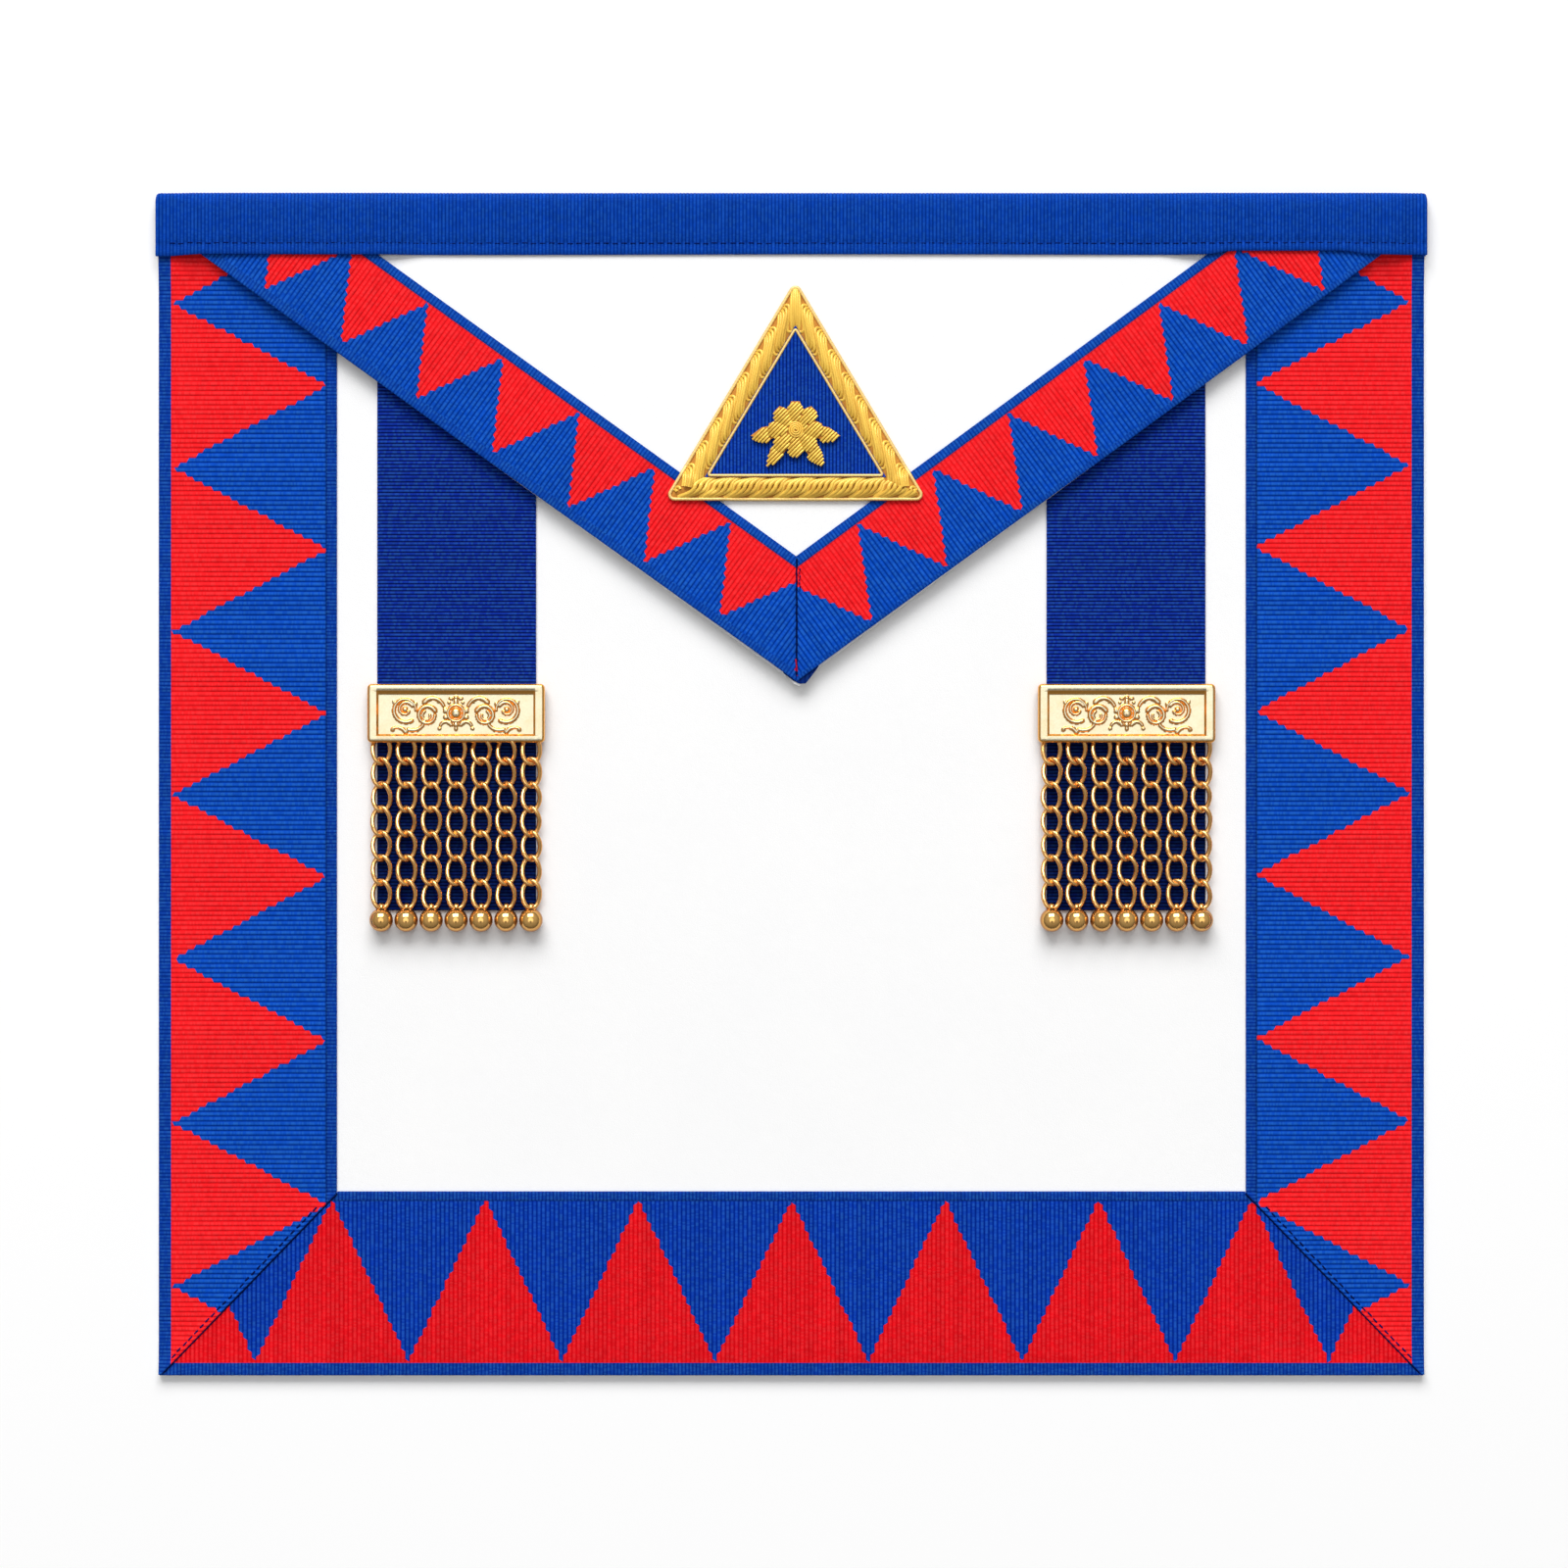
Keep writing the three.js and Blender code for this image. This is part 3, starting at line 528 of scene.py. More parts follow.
def make_threads(name, paths, radius, finish, sides=6, closed=False, pressed=1.0):
    """Round or pressed threads along paths (threads, steps, 3). At each step a ring of points
    stands square to the path. Each end is closed by a point, or a closed path joins its own
    start. The weave map gives millimetres along the thread, and its number plus turns round."""
    threads, steps = paths.shape[:2]
    if closed:
        run = np.roll(paths, -1, 1) - np.roll(paths, 1, 1)
    else:
        run = np.gradient(paths, axis=1)
    run = run / np.linalg.norm(run, axis=-1, keepdims=True)
    beside = np.cross(run, [0.0, 0.0, 1.0])
    beside = beside / np.maximum(np.linalg.norm(beside, axis=-1, keepdims=True), 1e-9)
    above = np.cross(beside, run)
    turn = np.arange(sides) / sides * 2 * np.pi
    thick = np.broadcast_to(np.asarray(radius, float), (threads, steps))[:, :, None, None]
    ring = (np.cos(turn)[:, None] * beside[:, :, None]
            + pressed * np.sin(turn)[:, None] * above[:, :, None])
    points = paths[:, :, None] + thick * ring
    index = np.arange(steps * sides).reshape(steps, sides)
    forward = np.roll(index, -1, 0) if closed else index[1:]
    here = index if closed else index[:-1]
    wall = places(here, forward, np.roll(forward, -1, 1), np.roll(here, -1, 1))
    wall = wall.reshape(-1, 4)
    gone = np.linalg.norm(np.diff(paths, axis=1), axis=-1).cumsum(1)
    gone = np.concatenate([np.zeros((threads, 1)), gone], 1)[:, :, None]
    number = np.arange(threads)[:, None, None]
    weave = places(gone, number + turn / (2 * np.pi))
    if closed:
        faces, each = wall, steps * sides
        points = points.reshape(threads, -1, 3)
        weave = weave.reshape(threads, -1, 2)
    else:
        start_cap = places(steps * sides, index[0], np.roll(index[0], -1), -1)
        end_cap = places(steps * sides + 1, np.roll(index[-1], -1), index[-1], -1)
        faces, each = np.concatenate([wall, start_cap, end_cap]), steps * sides + 2
        points = np.concatenate([points.reshape(threads, -1, 3), paths[:, [0, -1]]], 1)
        end_weave = np.concatenate([weave[:, 0, :1], weave[:, -1, :1]], 1)
        weave = np.concatenate([weave.reshape(threads, -1, 2), end_weave], 1)
    shift = np.arange(threads)[:, None, None] * each
    faces = np.where(faces[None] < 0, -1, faces[None] + shift).reshape(-1, 4)
    return make_piece(name, points.reshape(-1, 3), faces, finish, weave, soft_angle=80)


def run_of_stitches(start, end, count, filled, rise):
    """Paths of short stitches in a line from start to end (x, y, z): each comes up, lies along
    the line for the filled share of its step in a low arch, and goes down again."""
    start, end = np.asarray(start, float), np.asarray(end, float)
    share = np.linspace(0, 1, 5)
    at = (np.arange(count)[:, None] + 0.5 + (share - 0.5) * filled) / count
    paths = start + at[:, :, None] * (end - start)
    wobble = (chance.random((count, 1, 2)) - 0.5) * np.array([0.25, 0.25])
    paths[:, :, :2] += wobble
    paths[:, :, 2] += rise * (np.sin(np.pi * share) - 0.35)
    return paths


def sewing_finish(name, colour):
    """Sewing thread: two plies twisted together, shown as slanting bands of painted shade along
    the stitch.
    """
    finish, tree, shader = new_finish(name, 0.5, gloss=CLOTH_GLOSS)
    place = weave_place(tree)
    ply = calc(tree, "PINGPONG", calc(tree, "MULTIPLY_ADD", place[0], 1.6, place[1]), 0.5)
    shaded = (*(part * 0.55 for part in colour[:3]), 1)
    tree.links.new(mixed(tree, calc(tree, "MULTIPLY", ply, 2.0), shaded, colour),
                   shader["Base Color"])
    return finish


dark_sewing = sewing_finish("dark_blue_thread", dye(10, 26, 92))
MITRE_FROM = (3.9, 5.4)  # in from the skin's edge, and up from the hem
MITRE_TO = (BORDER_WIDTH - 6.0, 54.4)
MITRE_STITCHES = 26
STITCH_OVER = 0.34  # the felled edge stands this much over a flat ribbon
mitre_z = ON_SKIN + RIBBON_THICK + STITCH_OVER
mitre_lines = np.concatenate([run_of_stitches(
    *[(side * (SKIN_WIDTH / 2 - inwards), HEM_Y + up, mitre_z)
      for inwards, up in (MITRE_FROM, MITRE_TO)], MITRE_STITCHES, 0.62, 0.16)
    for side in (-1, 1)])
mitre_lines[:, :, 2] += climb(mitre_lines[:, :, 1])
mitre_stitches = make_threads("mitre_stitches", mitre_lines, 0.27, dark_sewing)
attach(mitre_stitches, "root")
# Painted shadow: a dark thread along the fold's foot, a little wavy, stands for the shade of the
# fold on the hem strip
fold_share = np.linspace(0.012, 0.985, 90)
fold_y = strip_low + fold_share * HEM_WIDTH
fold_shadow_paths = np.array([places(
    side * (SKIN_WIDTH / 2 - fold_share * BORDER_WIDTH - FOLD_LAP - 0.1), fold_y,
    ON_SKIN + RIBBON_THICK - 0.02 + climb(fold_y) + 0.04 * np.sin(fold_share * 150))
    for side in (-1, 1)])
fold_shadow_line = make_threads("mitre_fold_shadow", fold_shadow_paths, 0.4,
                           sewing_finish("fold_shadow_line_dye", dye(8, 24, 84)))
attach(fold_shadow_line, "root")

# ---- Waistband ------------------------------------------------------------------------------
# A blue petersham ribbon with fine upright ribs, folded over the top edge of every layer and
# sewn through near its lower edge. Its ends stand a little past the skin and are turned in.
BAND_HEIGHT = 20.0
BAND_OVERHANG = 0.7
BAND_THICK = 1.0
BAND_DEPTH = 7.4
BAND_RIB = 1.15
BAND_RIB_DEPTH = 0.2
BAND_RIB_PLACES = np.array([0.0, 0.2, 0.5, 0.8])
BAND_RIB_HEIGHTS = np.array([0.0, 0.8, 1.0, 0.8])
BAND_END_DIP = 2.1  # the front layer sinks where no flap lies under it,
BAND_MIDDLE_DIP = 1.45  # and where the flap has no ribbon
FLAP_ENDS_AT = (189.5, 11.0)  # where a dip starts, and over what length it deepens
RIBBONS_START_AT = (131.0, 14.0)
BAND_END_ROUND = 1.2
BAND_STITCH_Y = 3.6
BAND_STITCHES = 138
BAND_STITCH_INSET = 4.0
BAND_STITCH_DIP = 0.55
BAND_BLUE = dye(2, 54, 156)


def band_layer(depth, inset, rows_front, rows_back):
    """The waistband's section at each column: up the back, round the fold on a half circle,
    and down the front. inset moves it into the cloth. Returns y over the waist line and z."""
    outer = depth / 2
    fold_y = BAND_HEIGHT - outer
    angle = np.linspace(-np.pi / 2, np.pi / 2, 9)[1:-1, None]
    back_y = rows_back[:, None] * fold_y
    front_y = rows_front[:, None] * fold_y
    y = np.concatenate([back_y, fold_y + (outer - inset) * np.cos(angle), front_y])
    z = np.concatenate([np.zeros_like(back_y) + inset, outer + (outer - inset) * np.sin(angle),
                        np.zeros_like(front_y) + depth - inset])
    return y, z


def band_front(x):
    """How far the front layer stands off the table: the full depth over the flap's ribbons,
    with smooth steps down past the flap's ends and between its ribbons."""
    past_flap = smooth((np.abs(x) - FLAP_ENDS_AT[0]) / FLAP_ENDS_AT[1])
    between = smooth((RIBBONS_START_AT[0] - np.abs(x)) / RIBBONS_START_AT[1])
    return BAND_DEPTH - BAND_END_DIP * past_flap - BAND_MIDDLE_DIP * between


band_half = SKIN_WIDTH / 2 + BAND_OVERHANG
band_x, band_number, band_rise = ribs(-band_half, band_half, BAND_RIB, BAND_RIB_PLACES,
                                      BAND_RIB_HEIGHTS)
band_depth = band_front(band_x)
rows_back = np.array([0, 0.02, 0.5, 1.0])
rows_front = np.array([1.0, 0.8, 0.6, 0.42, 0.3, 0.25, 0.215, 0.17, 0.1, 0.03, 0.0])
band_y, band_z = band_layer(band_depth, 0.0, rows_front, rows_back)
lining_y, lining_z = band_layer(band_depth, BAND_THICK, rows_front, rows_back)
on_front = (np.arange(len(band_y)) >= len(band_y) - len(rows_front))[:, None]
relief = BAND_RIB_DEPTH * (1 - band_rise) * np.where(band_y < 1.0, 0.4, 1.0)
stitch_reach = band_half - BAND_STITCH_INSET
stitch_pull = 0.5 + 0.5 * np.cos(2 * np.pi * band_x / (2 * stitch_reach / BAND_STITCHES))
from_stitches = (band_y - BAND_STITCH_Y) / 0.9
stitch_dip = BAND_STITCH_DIP * stitch_pull * np.exp(-from_stitches ** 2) * on_front
edge_soft = 0.3 * (band_y < 0.05) * on_front
lie = 0.07 * np.sin(band_x / 27) * on_front
band_z = band_z - np.where(on_front, relief + stitch_dip + edge_soft - lie, 0)
arc = (band_y > BAND_HEIGHT - band_depth / 2) & ~on_front
band_y = band_y - np.where(arc, 0.6 * relief, 0)
end_reach = np.clip(np.abs(band_x) - (band_half - BAND_END_ROUND), 0, BAND_END_ROUND)
end_drop = BAND_END_ROUND - np.sqrt(BAND_END_ROUND ** 2 - end_reach ** 2)
left_sag = 0.55 * np.clip((-band_x - 190) / 10, 0, 1) * on_front
right_rise = 1.2 / (1 + np.exp((np.abs(band_x - 159) - 22) / 1.6)) * on_front


def band_place(y, z):
    """The band's section placed along its whole length, with rounded upper corners."""
    y = y - end_drop * y / BAND_HEIGHT + (right_rise - left_sag) * np.clip(1 - y / 8, 0, 1)
    y = y + 0.12 * np.sin(band_x / 41 + 1) * np.clip(1 - y / 8, 0, 1) * on_front
    return places(band_x, WAIST_Y + y, z)


def plain_ribbed_finish(name, colour, roughness, look, chain_shadow_ribs=0, left_in_shadow=1.0,
                        crossing_length=0.5):
    """One-colour ribbed ribbon on the same weave map: millimetres across and ribs along. A
    painted shadow can darken its first ribs, which then keep only a given share of their colour."""
    finish, tree, shader = new_finish(name, roughness, gloss=CLOTH_GLOSS)
    place = weave_place(tree)
    rib = calc(tree, "FLOOR", place[1])
    # Painted shadow: the first ribs keep only a share of their colour, where the chains hang
    shade = step_between(tree, place[1], chain_shadow_ribs - 1, chain_shadow_ribs, left_in_shadow, 1.0)
    finish_weave(tree, shader, place, rib, calc(tree, "FRACT", place[1]), shade,
                 random_of(tree, rib), colour[:3], look, crossing_length=crossing_length)
    return finish


band_run = 2.0 * np.arange(1, len(band_y) + 1)[:, None]  # the section's lines lie 2 mm apart
band_finish = plain_ribbed_finish("waistband_cloth", BAND_BLUE, 0.6, (0.74, 1.14, 0.02))
waistband = make_sheet("waistband_ribbon", band_place(band_y, band_z),
                       band_place(lining_y, lining_z), band_finish,
                       places(band_run, band_number))
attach(waistband, "root")
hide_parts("waistband")

band_sewing = sewing_finish("band_thread", dye(6, 30, 104))
stitch_sunk = -0.3
band_stitch_paths = run_of_stitches(
    (-stitch_reach, WAIST_Y + BAND_STITCH_Y, stitch_sunk),
    (stitch_reach, WAIST_Y + BAND_STITCH_Y, stitch_sunk), BAND_STITCHES, 0.55, 0.2)
band_stitch_paths[:, :, 2] += band_front(band_stitch_paths[:, :, 0])
band_stitches = make_threads("waistband_stitches", band_stitch_paths, 0.23, band_sewing)
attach(band_stitches, "root")

# ---- Flap -----------------------------------------------------------------------------------
# A pointed flap of the same kid hangs from under the waistband, a little lifted at its tip. A
# narrower toothed ribbon is sewn along both its edges, with the teeth standing on the inner
# stripe, and the two lengths meet in an upright seam. A strip of leather shows at the edge.
FLAP_DROP = 137.5
FLAP_HALF = 189.0
FLAP_TUCK = 8.0
RIBBON_TUCK = 4.0
FLAP_TIP_X = 1.7
FLAP_HINGE_Z = 3.8
FLAP_TILT = np.arctan(-0.75 / FLAP_DROP)
FLAP_THICK = 1.0
FLAP_RIBBON_WIDTH = 32.3
FLAP_RIBBON_Z = 1.12
FLAP_RIBBON_TOP = 2.3
FLAP_RIB = 1.46
FLAP_STRIPE_BLUE = dye(3, 59, 164)
FLAP_TOOTH_PITCH = 95.2 * PIXEL_COVERS
FLAP_INNER_STRIPE = 2.4
LEATHER_EDGE = 0.5  # at the tip; by the waistband the ribbon hides the leather
FLAP_SEAM_DIP = (0.75, 0.45)  # how deep, and how fast it dies away from the seam
PUCKER_DEPTH = 0.6  # a crease that slants over the left ribbon
PUCKER_AT = 40.0
PUCKER_LEAN = 0.9
PUCKER_WIDTH = 2.0
PUCKER_FROM = (14.0, 6.0)
FLAP_LINES = np.array([0, 0.25, 0.9, 2.2, 3.3, 3.9, 10, 15, 20, 25, 30.3, 30.9, 31.8, 32.7,
                       33.0]) / FLAP_RIBBON_WIDTH


def on_flap(x, y, z):
    """Places of the flap's own frame, whose y is 0 at the hinge and z 0 at its underside."""
    up = FLAP_HINGE_Z + y * np.sin(FLAP_TILT) + z * np.cos(FLAP_TILT)
    return places(x, WAIST_Y + y * np.cos(FLAP_TILT) - z * np.sin(FLAP_TILT), up)


flap_across, flap_along = np.meshgrid(eased(44, 0.004), np.linspace(0, 1, 60) ** 1.1)
flap_y = -FLAP_DROP + flap_along * (FLAP_DROP + FLAP_TUCK)
flap_width_share = np.clip(flap_along * (FLAP_DROP + FLAP_TUCK) / FLAP_DROP, 0.004, 1)
flap_left = FLAP_TIP_X + (-FLAP_HALF - FLAP_TIP_X) * flap_width_share
flap_right = FLAP_TIP_X + (FLAP_HALF - FLAP_TIP_X) * flap_width_share
flap_x = flap_left + flap_across * (flap_right - flap_left)
flap_y = flap_y - 1.9 * np.exp(-((flap_x - 4.6) / 2.3) ** 2 - ((flap_y + 137) / 4) ** 2)
flap_round = rim_drop(flap_across, flap_along)
flap_skin = make_sheet("flap_kid", on_flap(flap_x, flap_y, FLAP_THICK - 0.3 * flap_round),
                       on_flap(flap_x, flap_y, 0.15 * flap_round), kid_finish)
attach(flap_skin, "root")
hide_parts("flap_skin")


def flap_ribbon(side, name, node_name, tooth_at, outer_stripe):
    """One ribbon of the flap. Its rows follow the ribs, square to the flap's edge. A row ends
    on the inner edge, under the waistband, or at the upright seam, where it dips into it."""
    corner = np.array([side * FLAP_HALF, 0.0])
    tip = np.array([FLAP_TIP_X, -FLAP_DROP])
    length = np.linalg.norm(tip - corner)
    run = (tip - corner) / length
    inward = side * np.array([run[1], -run[0]])
    along, number, height = ribs(-RIBBON_TUCK / abs(run[1]), length - MITRE_GAP, FLAP_RIB)
    seam_x = FLAP_TIP_X - side * 0.01
    to_seam = (seam_x - corner[0] - along * run[0]) / inward[0]
    to_tuck = (RIBBON_TUCK - along * run[1]) / inward[1]
    width = np.clip(np.minimum(to_seam, to_tuck), 0.5, FLAP_RIBBON_WIDTH)[:, None]
    edge = LEATHER_EDGE * np.clip(2.4 * along / length - 1.2, -0.2, 1)[:, None]
    across = edge + FLAP_LINES[None, :] * (width - edge)
    x = corner[0] + along[:, None] * run[0] + across * inward[0]
    y = corner[1] + along[:, None] * run[1] + across * inward[1]
    rib = height[:, None] * stripe_share(across, outer_stripe, FLAP_INNER_STRIPE,
                                         FLAP_RIBBON_WIDTH)
    seam_dip = FLAP_SEAM_DIP[0] * np.exp(-np.abs(x - FLAP_TIP_X) / FLAP_SEAM_DIP[1])
    crease_at = PUCKER_AT + PUCKER_LEAN * (28.6 - across)
    crease = np.exp(-((along[:, None] - crease_at) / PUCKER_WIDTH) ** 2)
    crease = crease * np.clip((across - PUCKER_FROM[0]) / PUCKER_FROM[1], 0, 1)
    pucker = -PUCKER_DEPTH * crease * (side < 0)
    swell = 0.10 * np.sin(along / 13 + 2 * side)[:, None] * np.sin(np.pi * FLAP_LINES)
    top_z = (FLAP_RIBBON_TOP - RIB_DEPTH * (1 - rib) + swell + pucker - seam_dip
             - edge_fall(across - edge, width - edge))
    bottom_z = np.minimum(FLAP_RIBBON_Z, top_z - 0.1)
    rib_length = (along[-1] - along[0]) / number[-1]
    finish = toothed_finish(name + "_cloth", (tooth_at - along[0]) / rib_length,
                            FLAP_TOOTH_PITCH / rib_length, outer_stripe, FLAP_INNER_STRIPE,
                            FLAP_RIBBON_WIDTH, FLAP_RIB, base_inside=True,
                            dyes=(FLAP_STRIPE_BLUE, CLOTH_BLUE, TOOTH_RED))
    ribbon = make_sheet(name, on_flap(x, y, top_z), on_flap(x, y, bottom_z), finish,
                        places(across, number[:, None]))
    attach(ribbon, "root")
    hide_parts(node_name)


for side, name, tooth_pixels, outer_stripe in (
        (-1, "left", 358.7, 3.1), (1, "right", 354.6, 1.8)):
    flap_ribbon(side, "flap_strip_" + name, "flap_ribbon_" + name,
                tooth_pixels * PIXEL_COVERS, outer_stripe)

# The ribbon's spare end is turned under at the tip and looks out between it and the leather.
# Its low edge is a run of points in the flap's own frame.
TURNED_LOW = np.array([[-2.6, -134.2], [0.6, -136.6], [2.6, -137.6], [4.6, -137.5],
                       [6.2, -135.5], [8.8, -132.0]])
TURNED_TOP = -127.0
turned_rows = np.linspace(0, 1, 7)[:, None]
turned_x = TURNED_LOW[:, 0] * (0.6 + 0.4 * turned_rows)
turned_y = TURNED_TOP + (TURNED_LOW[:, 1] - TURNED_TOP) * turned_rows
turned_z = 1.14 + 0.3 * np.clip((turned_rows - 0.5) * 2.5, 0, 1) - 0.2 * (turned_rows == 1)
turned_weave = places(turned_y + 150, turned_x / FLAP_RIB + 30)
turned_finish = plain_ribbed_finish("turned_cloth", dye(8, 34, 108), 0.62, (0.8, 1.1, 0.01))
turned_end = make_sheet("flap_turned_end", on_flap(turned_x, turned_y, turned_z),
                        on_flap(turned_x, turned_y, 1.02), turned_finish, turned_weave)
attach(turned_end, "root")

seam_top = pixel_place(0, 580)[1] - WAIST_Y
seam_low = pixel_place(0, 604)[1] - WAIST_Y
seam_stitches = make_threads("seam_stitches", run_of_stitches(
    on_flap(FLAP_TIP_X + 1.0, seam_top, FLAP_RIBBON_TOP), on_flap(FLAP_TIP_X + 1.0, seam_low,
    FLAP_RIBBON_TOP), 7, 0.6, 0.15), 0.17, dark_sewing)
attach(seam_stitches, "root")
# Painted shadow: a dark thread laid in the seam's valley stands for the shade there
seam_share = np.linspace(0, 1, 60)[:, None]
seam_shadow_path = on_flap(FLAP_TIP_X + 0.06 * np.sin(seam_share * 37),
                    pixel_place(0, 570.5)[1] - WAIST_Y - 37.2 * seam_share,
                    FLAP_RIBBON_TOP - 0.42 + 0.06 * np.cos(seam_share * 160))
seam_valley_shadow = make_threads("seam_valley_shadow", seam_shadow_path.reshape(1, -1, 3), 0.26,
                           sewing_finish("seam_valley_shadow_dye", dye(8, 20, 74)))
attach(seam_valley_shadow, "root")
red_sewing = sewing_finish("red_thread", dye(205, 24, 58))
tack_y = pixel_place(0, 680)[1] - WAIST_Y
tip_tack = make_threads("tip_tack", run_of_stitches(
    on_flap(FLAP_TIP_X - 0.25, tack_y + 2.2, 2.0), on_flap(FLAP_TIP_X + 0.1, tack_y - 1.6, 2.15),
    2, 1.0, 0.2), 0.24, red_sewing)
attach(tip_tack, "root")

# ---- Embroidered triangle -------------------------------------------------------------------
# A triangle of blue ribbed silk is worked on the flap. Its broad border is padded and covered
# with bundles of gold purl that slant like the strands of a rope, between two couched cords.
EMBLEM_X = 1.3
EMBLEM_APEX_Y = -8.6
EMBLEM_HEIGHT = 70.2
EMBLEM_BASE = 83.8
EMBLEM_Z = 2.6
RIBBON_EDGES_MEET_Y = -97.0  # the inner edges of the flap's ribbons, and their slope
RIBBON_EDGE_SLOPE = 0.722
SEAT_OUTER = 1.1
SEAT_INNER = 0.3
SEAT_RUN = 3.5
BORDER_BAND = 7.9
PURL_RADIUS = 0.48
BASE_PURL_RADIUS = 0.62  # across the light, where thinner threads would part in shade
PURL_PRESSED = 0.5
PURL_FROM = 0.95
PURL_TO = 7.4
PURL_CROWN = 1.1
PURL_SHOULDER = 0.35
BUNDLE_THREADS = 5
emblem_base_y = EMBLEM_APEX_Y - EMBLEM_HEIGHT
slant_length = np.hypot(EMBLEM_BASE / 2, EMBLEM_HEIGHT)
emblem_inradius = EMBLEM_BASE * EMBLEM_HEIGHT / (EMBLEM_BASE + 2 * slant_length)
half_apex = np.arctan(EMBLEM_BASE / 2 / EMBLEM_HEIGHT)
half_foot = np.arctan(EMBLEM_HEIGHT / (EMBLEM_BASE / 2)) / 2


def seat(x, y, across):
    """How far the border sinks from where it crosses the flap's ribbons to where it lies on
    the kid: most at its outer edge (across 0), less at its inner one."""
    ribbon_y = RIBBON_EDGES_MEET_Y + RIBBON_EDGE_SLOPE * np.abs(x - FLAP_TIP_X)
    deepest = SEAT_OUTER - (SEAT_OUTER - SEAT_INNER) * across / BORDER_BAND
    return -deepest * smooth((y - ribbon_y) / SEAT_RUN)


def emblem_outline(inset, points, rounding):
    """A closed run of points round the triangle pulled in by inset. Each corner is an arc with
    the radius rounding, from one side's outward direction to the next one's, and even steps
    run along the straight sides between the arcs."""
    share = 1 - (inset + rounding) / emblem_inradius
    foot = EMBLEM_BASE / 2
    middles = np.array([[0, EMBLEM_HEIGHT - emblem_inradius], [-foot, -emblem_inradius],
                        [foot, -emblem_inradius]])
    middles = middles * share + [EMBLEM_X, emblem_base_y + emblem_inradius]
    outward = np.array([half_apex, np.pi - half_apex, 3 * np.pi / 2, 2 * np.pi + half_apex])
    arcs = []
    for corner in range(3):
        angle = np.linspace(outward[corner], outward[corner + 1], 12)[:, None]
        arcs.append(middles[corner] + rounding * np.hstack([np.cos(angle), np.sin(angle)]))
    step = np.linspace(0, 1, points // 3 - 10)[1:-1, None]
    runs = []
    for corner in range(3):
        start, end = arcs[corner][-1], arcs[(corner + 1) % 3][0]
        runs += [arcs[corner], start + step * (end - start)]
    return np.concatenate(runs)


ground_inset = BORDER_BAND - 0.6
ground_share = 1 - ground_inset / emblem_inradius
ground_half = EMBLEM_BASE / 2 * ground_share
ground_low = emblem_base_y + ground_inset
ground_x, ground_number, ground_rise = ribs(-ground_half, ground_half, STRIPE_RIB)
ground_height = EMBLEM_HEIGHT * ground_share
ground_tall = np.maximum((1 - np.abs(ground_x) / ground_half) * ground_height, 0.1)
ground_rows = np.linspace(0, 1, 12)[:, None]
ground_y = ground_low + ground_rows * ground_tall
ground_top = EMBLEM_Z + 1.0 - 0.2 * (1 - ground_rise)
ground_weave = places(ground_y + 90, ground_number)
silk_finish = plain_ribbed_finish("blue_silk_ground", dye(4, 42, 146), 0.55,
                                  (0.55, 1.32, 0.03))
ground = make_sheet("silk_ground", on_flap(EMBLEM_X + ground_x, ground_y, ground_top),
                    on_flap(EMBLEM_X + ground_x, ground_y, 1.15), silk_finish, ground_weave)
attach(ground, "root")
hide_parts("emblem_ground")


def facing_up(tree):
    """How far the surface faces up: 1 where it lies level and 0 where it stands upright."""
    normal = node(tree, "ShaderNodeNewGeometry").node.outputs["Normal"]
    return node(tree, "ShaderNodeSeparateXYZ", normal).node.outputs[2]


def thread_finish(name, bright, deep, roughness, wind, metallic):
    """Gold thread with painted shade: bright on top, deep where it turns down and between its
    coils. The coils are bands across it, wind of them to a millimetre, and they turn as a wound
    wire does. Every thread has its own brightness."""
    finish, tree, shader = new_finish(name, roughness, metallic=metallic, gloss=0.4)
    place = weave_place(tree)
    coil = calc(tree, "PINGPONG", calc(tree, "MULTIPLY_ADD", place[0], wind, place[1]), 0.5)
    cloud = node(tree, "ShaderNodeTexNoise", object_place(tree), None, 300.0, 3.0)
    # Painted shade between the coils and where the thread turns down
    share = calc(tree, "MULTIPLY", step_between(tree, coil, 0.0, 0.35, 0.75, 1.0),
                 step_between(tree, cloud, 0.3, 0.7, 0.88, 1.0))
    painted_top_light = step_between(tree, facing_up(tree), 0.1, 0.65, 0.1, 1.0)
    own = random_of(tree, calc(tree, "FLOOR", place[1]))
    share = calc(tree, "MULTIPLY", calc(tree, "MULTIPLY", share, painted_top_light),
                 calc(tree, "MULTIPLY_ADD", own, 0.45, 0.74))
    tree.links.new(mixed(tree, share, deep, bright), shader["Base Color"])
    add_bump(tree, shader, coil, 0.6, 0.00006)
    return finish


purl_finish = thread_finish("gold_purl", (1.0, 0.64, 0.095, 1), (0.60, 0.25, 0.02, 1),
                            0.28, 2.2, 0.1)
cord_finish = thread_finish("gold_cord", (1.0, 0.72, 0.26, 1), (0.66, 0.36, 0.07, 1),
                            0.42, 0.9, 0.25)
padding_finish, padding_tree, padding_shader = new_finish("gold_padding", 0.8)
padding_cloud = node(padding_tree, "ShaderNodeTexNoise", object_place(padding_tree), None,
                     900.0, 4.0)
padding_colour = mixed(padding_tree, padding_cloud, dye(168, 100, 24), dye(226, 156, 56))
padding_tree.links.new(padding_colour, padding_shader["Base Color"])

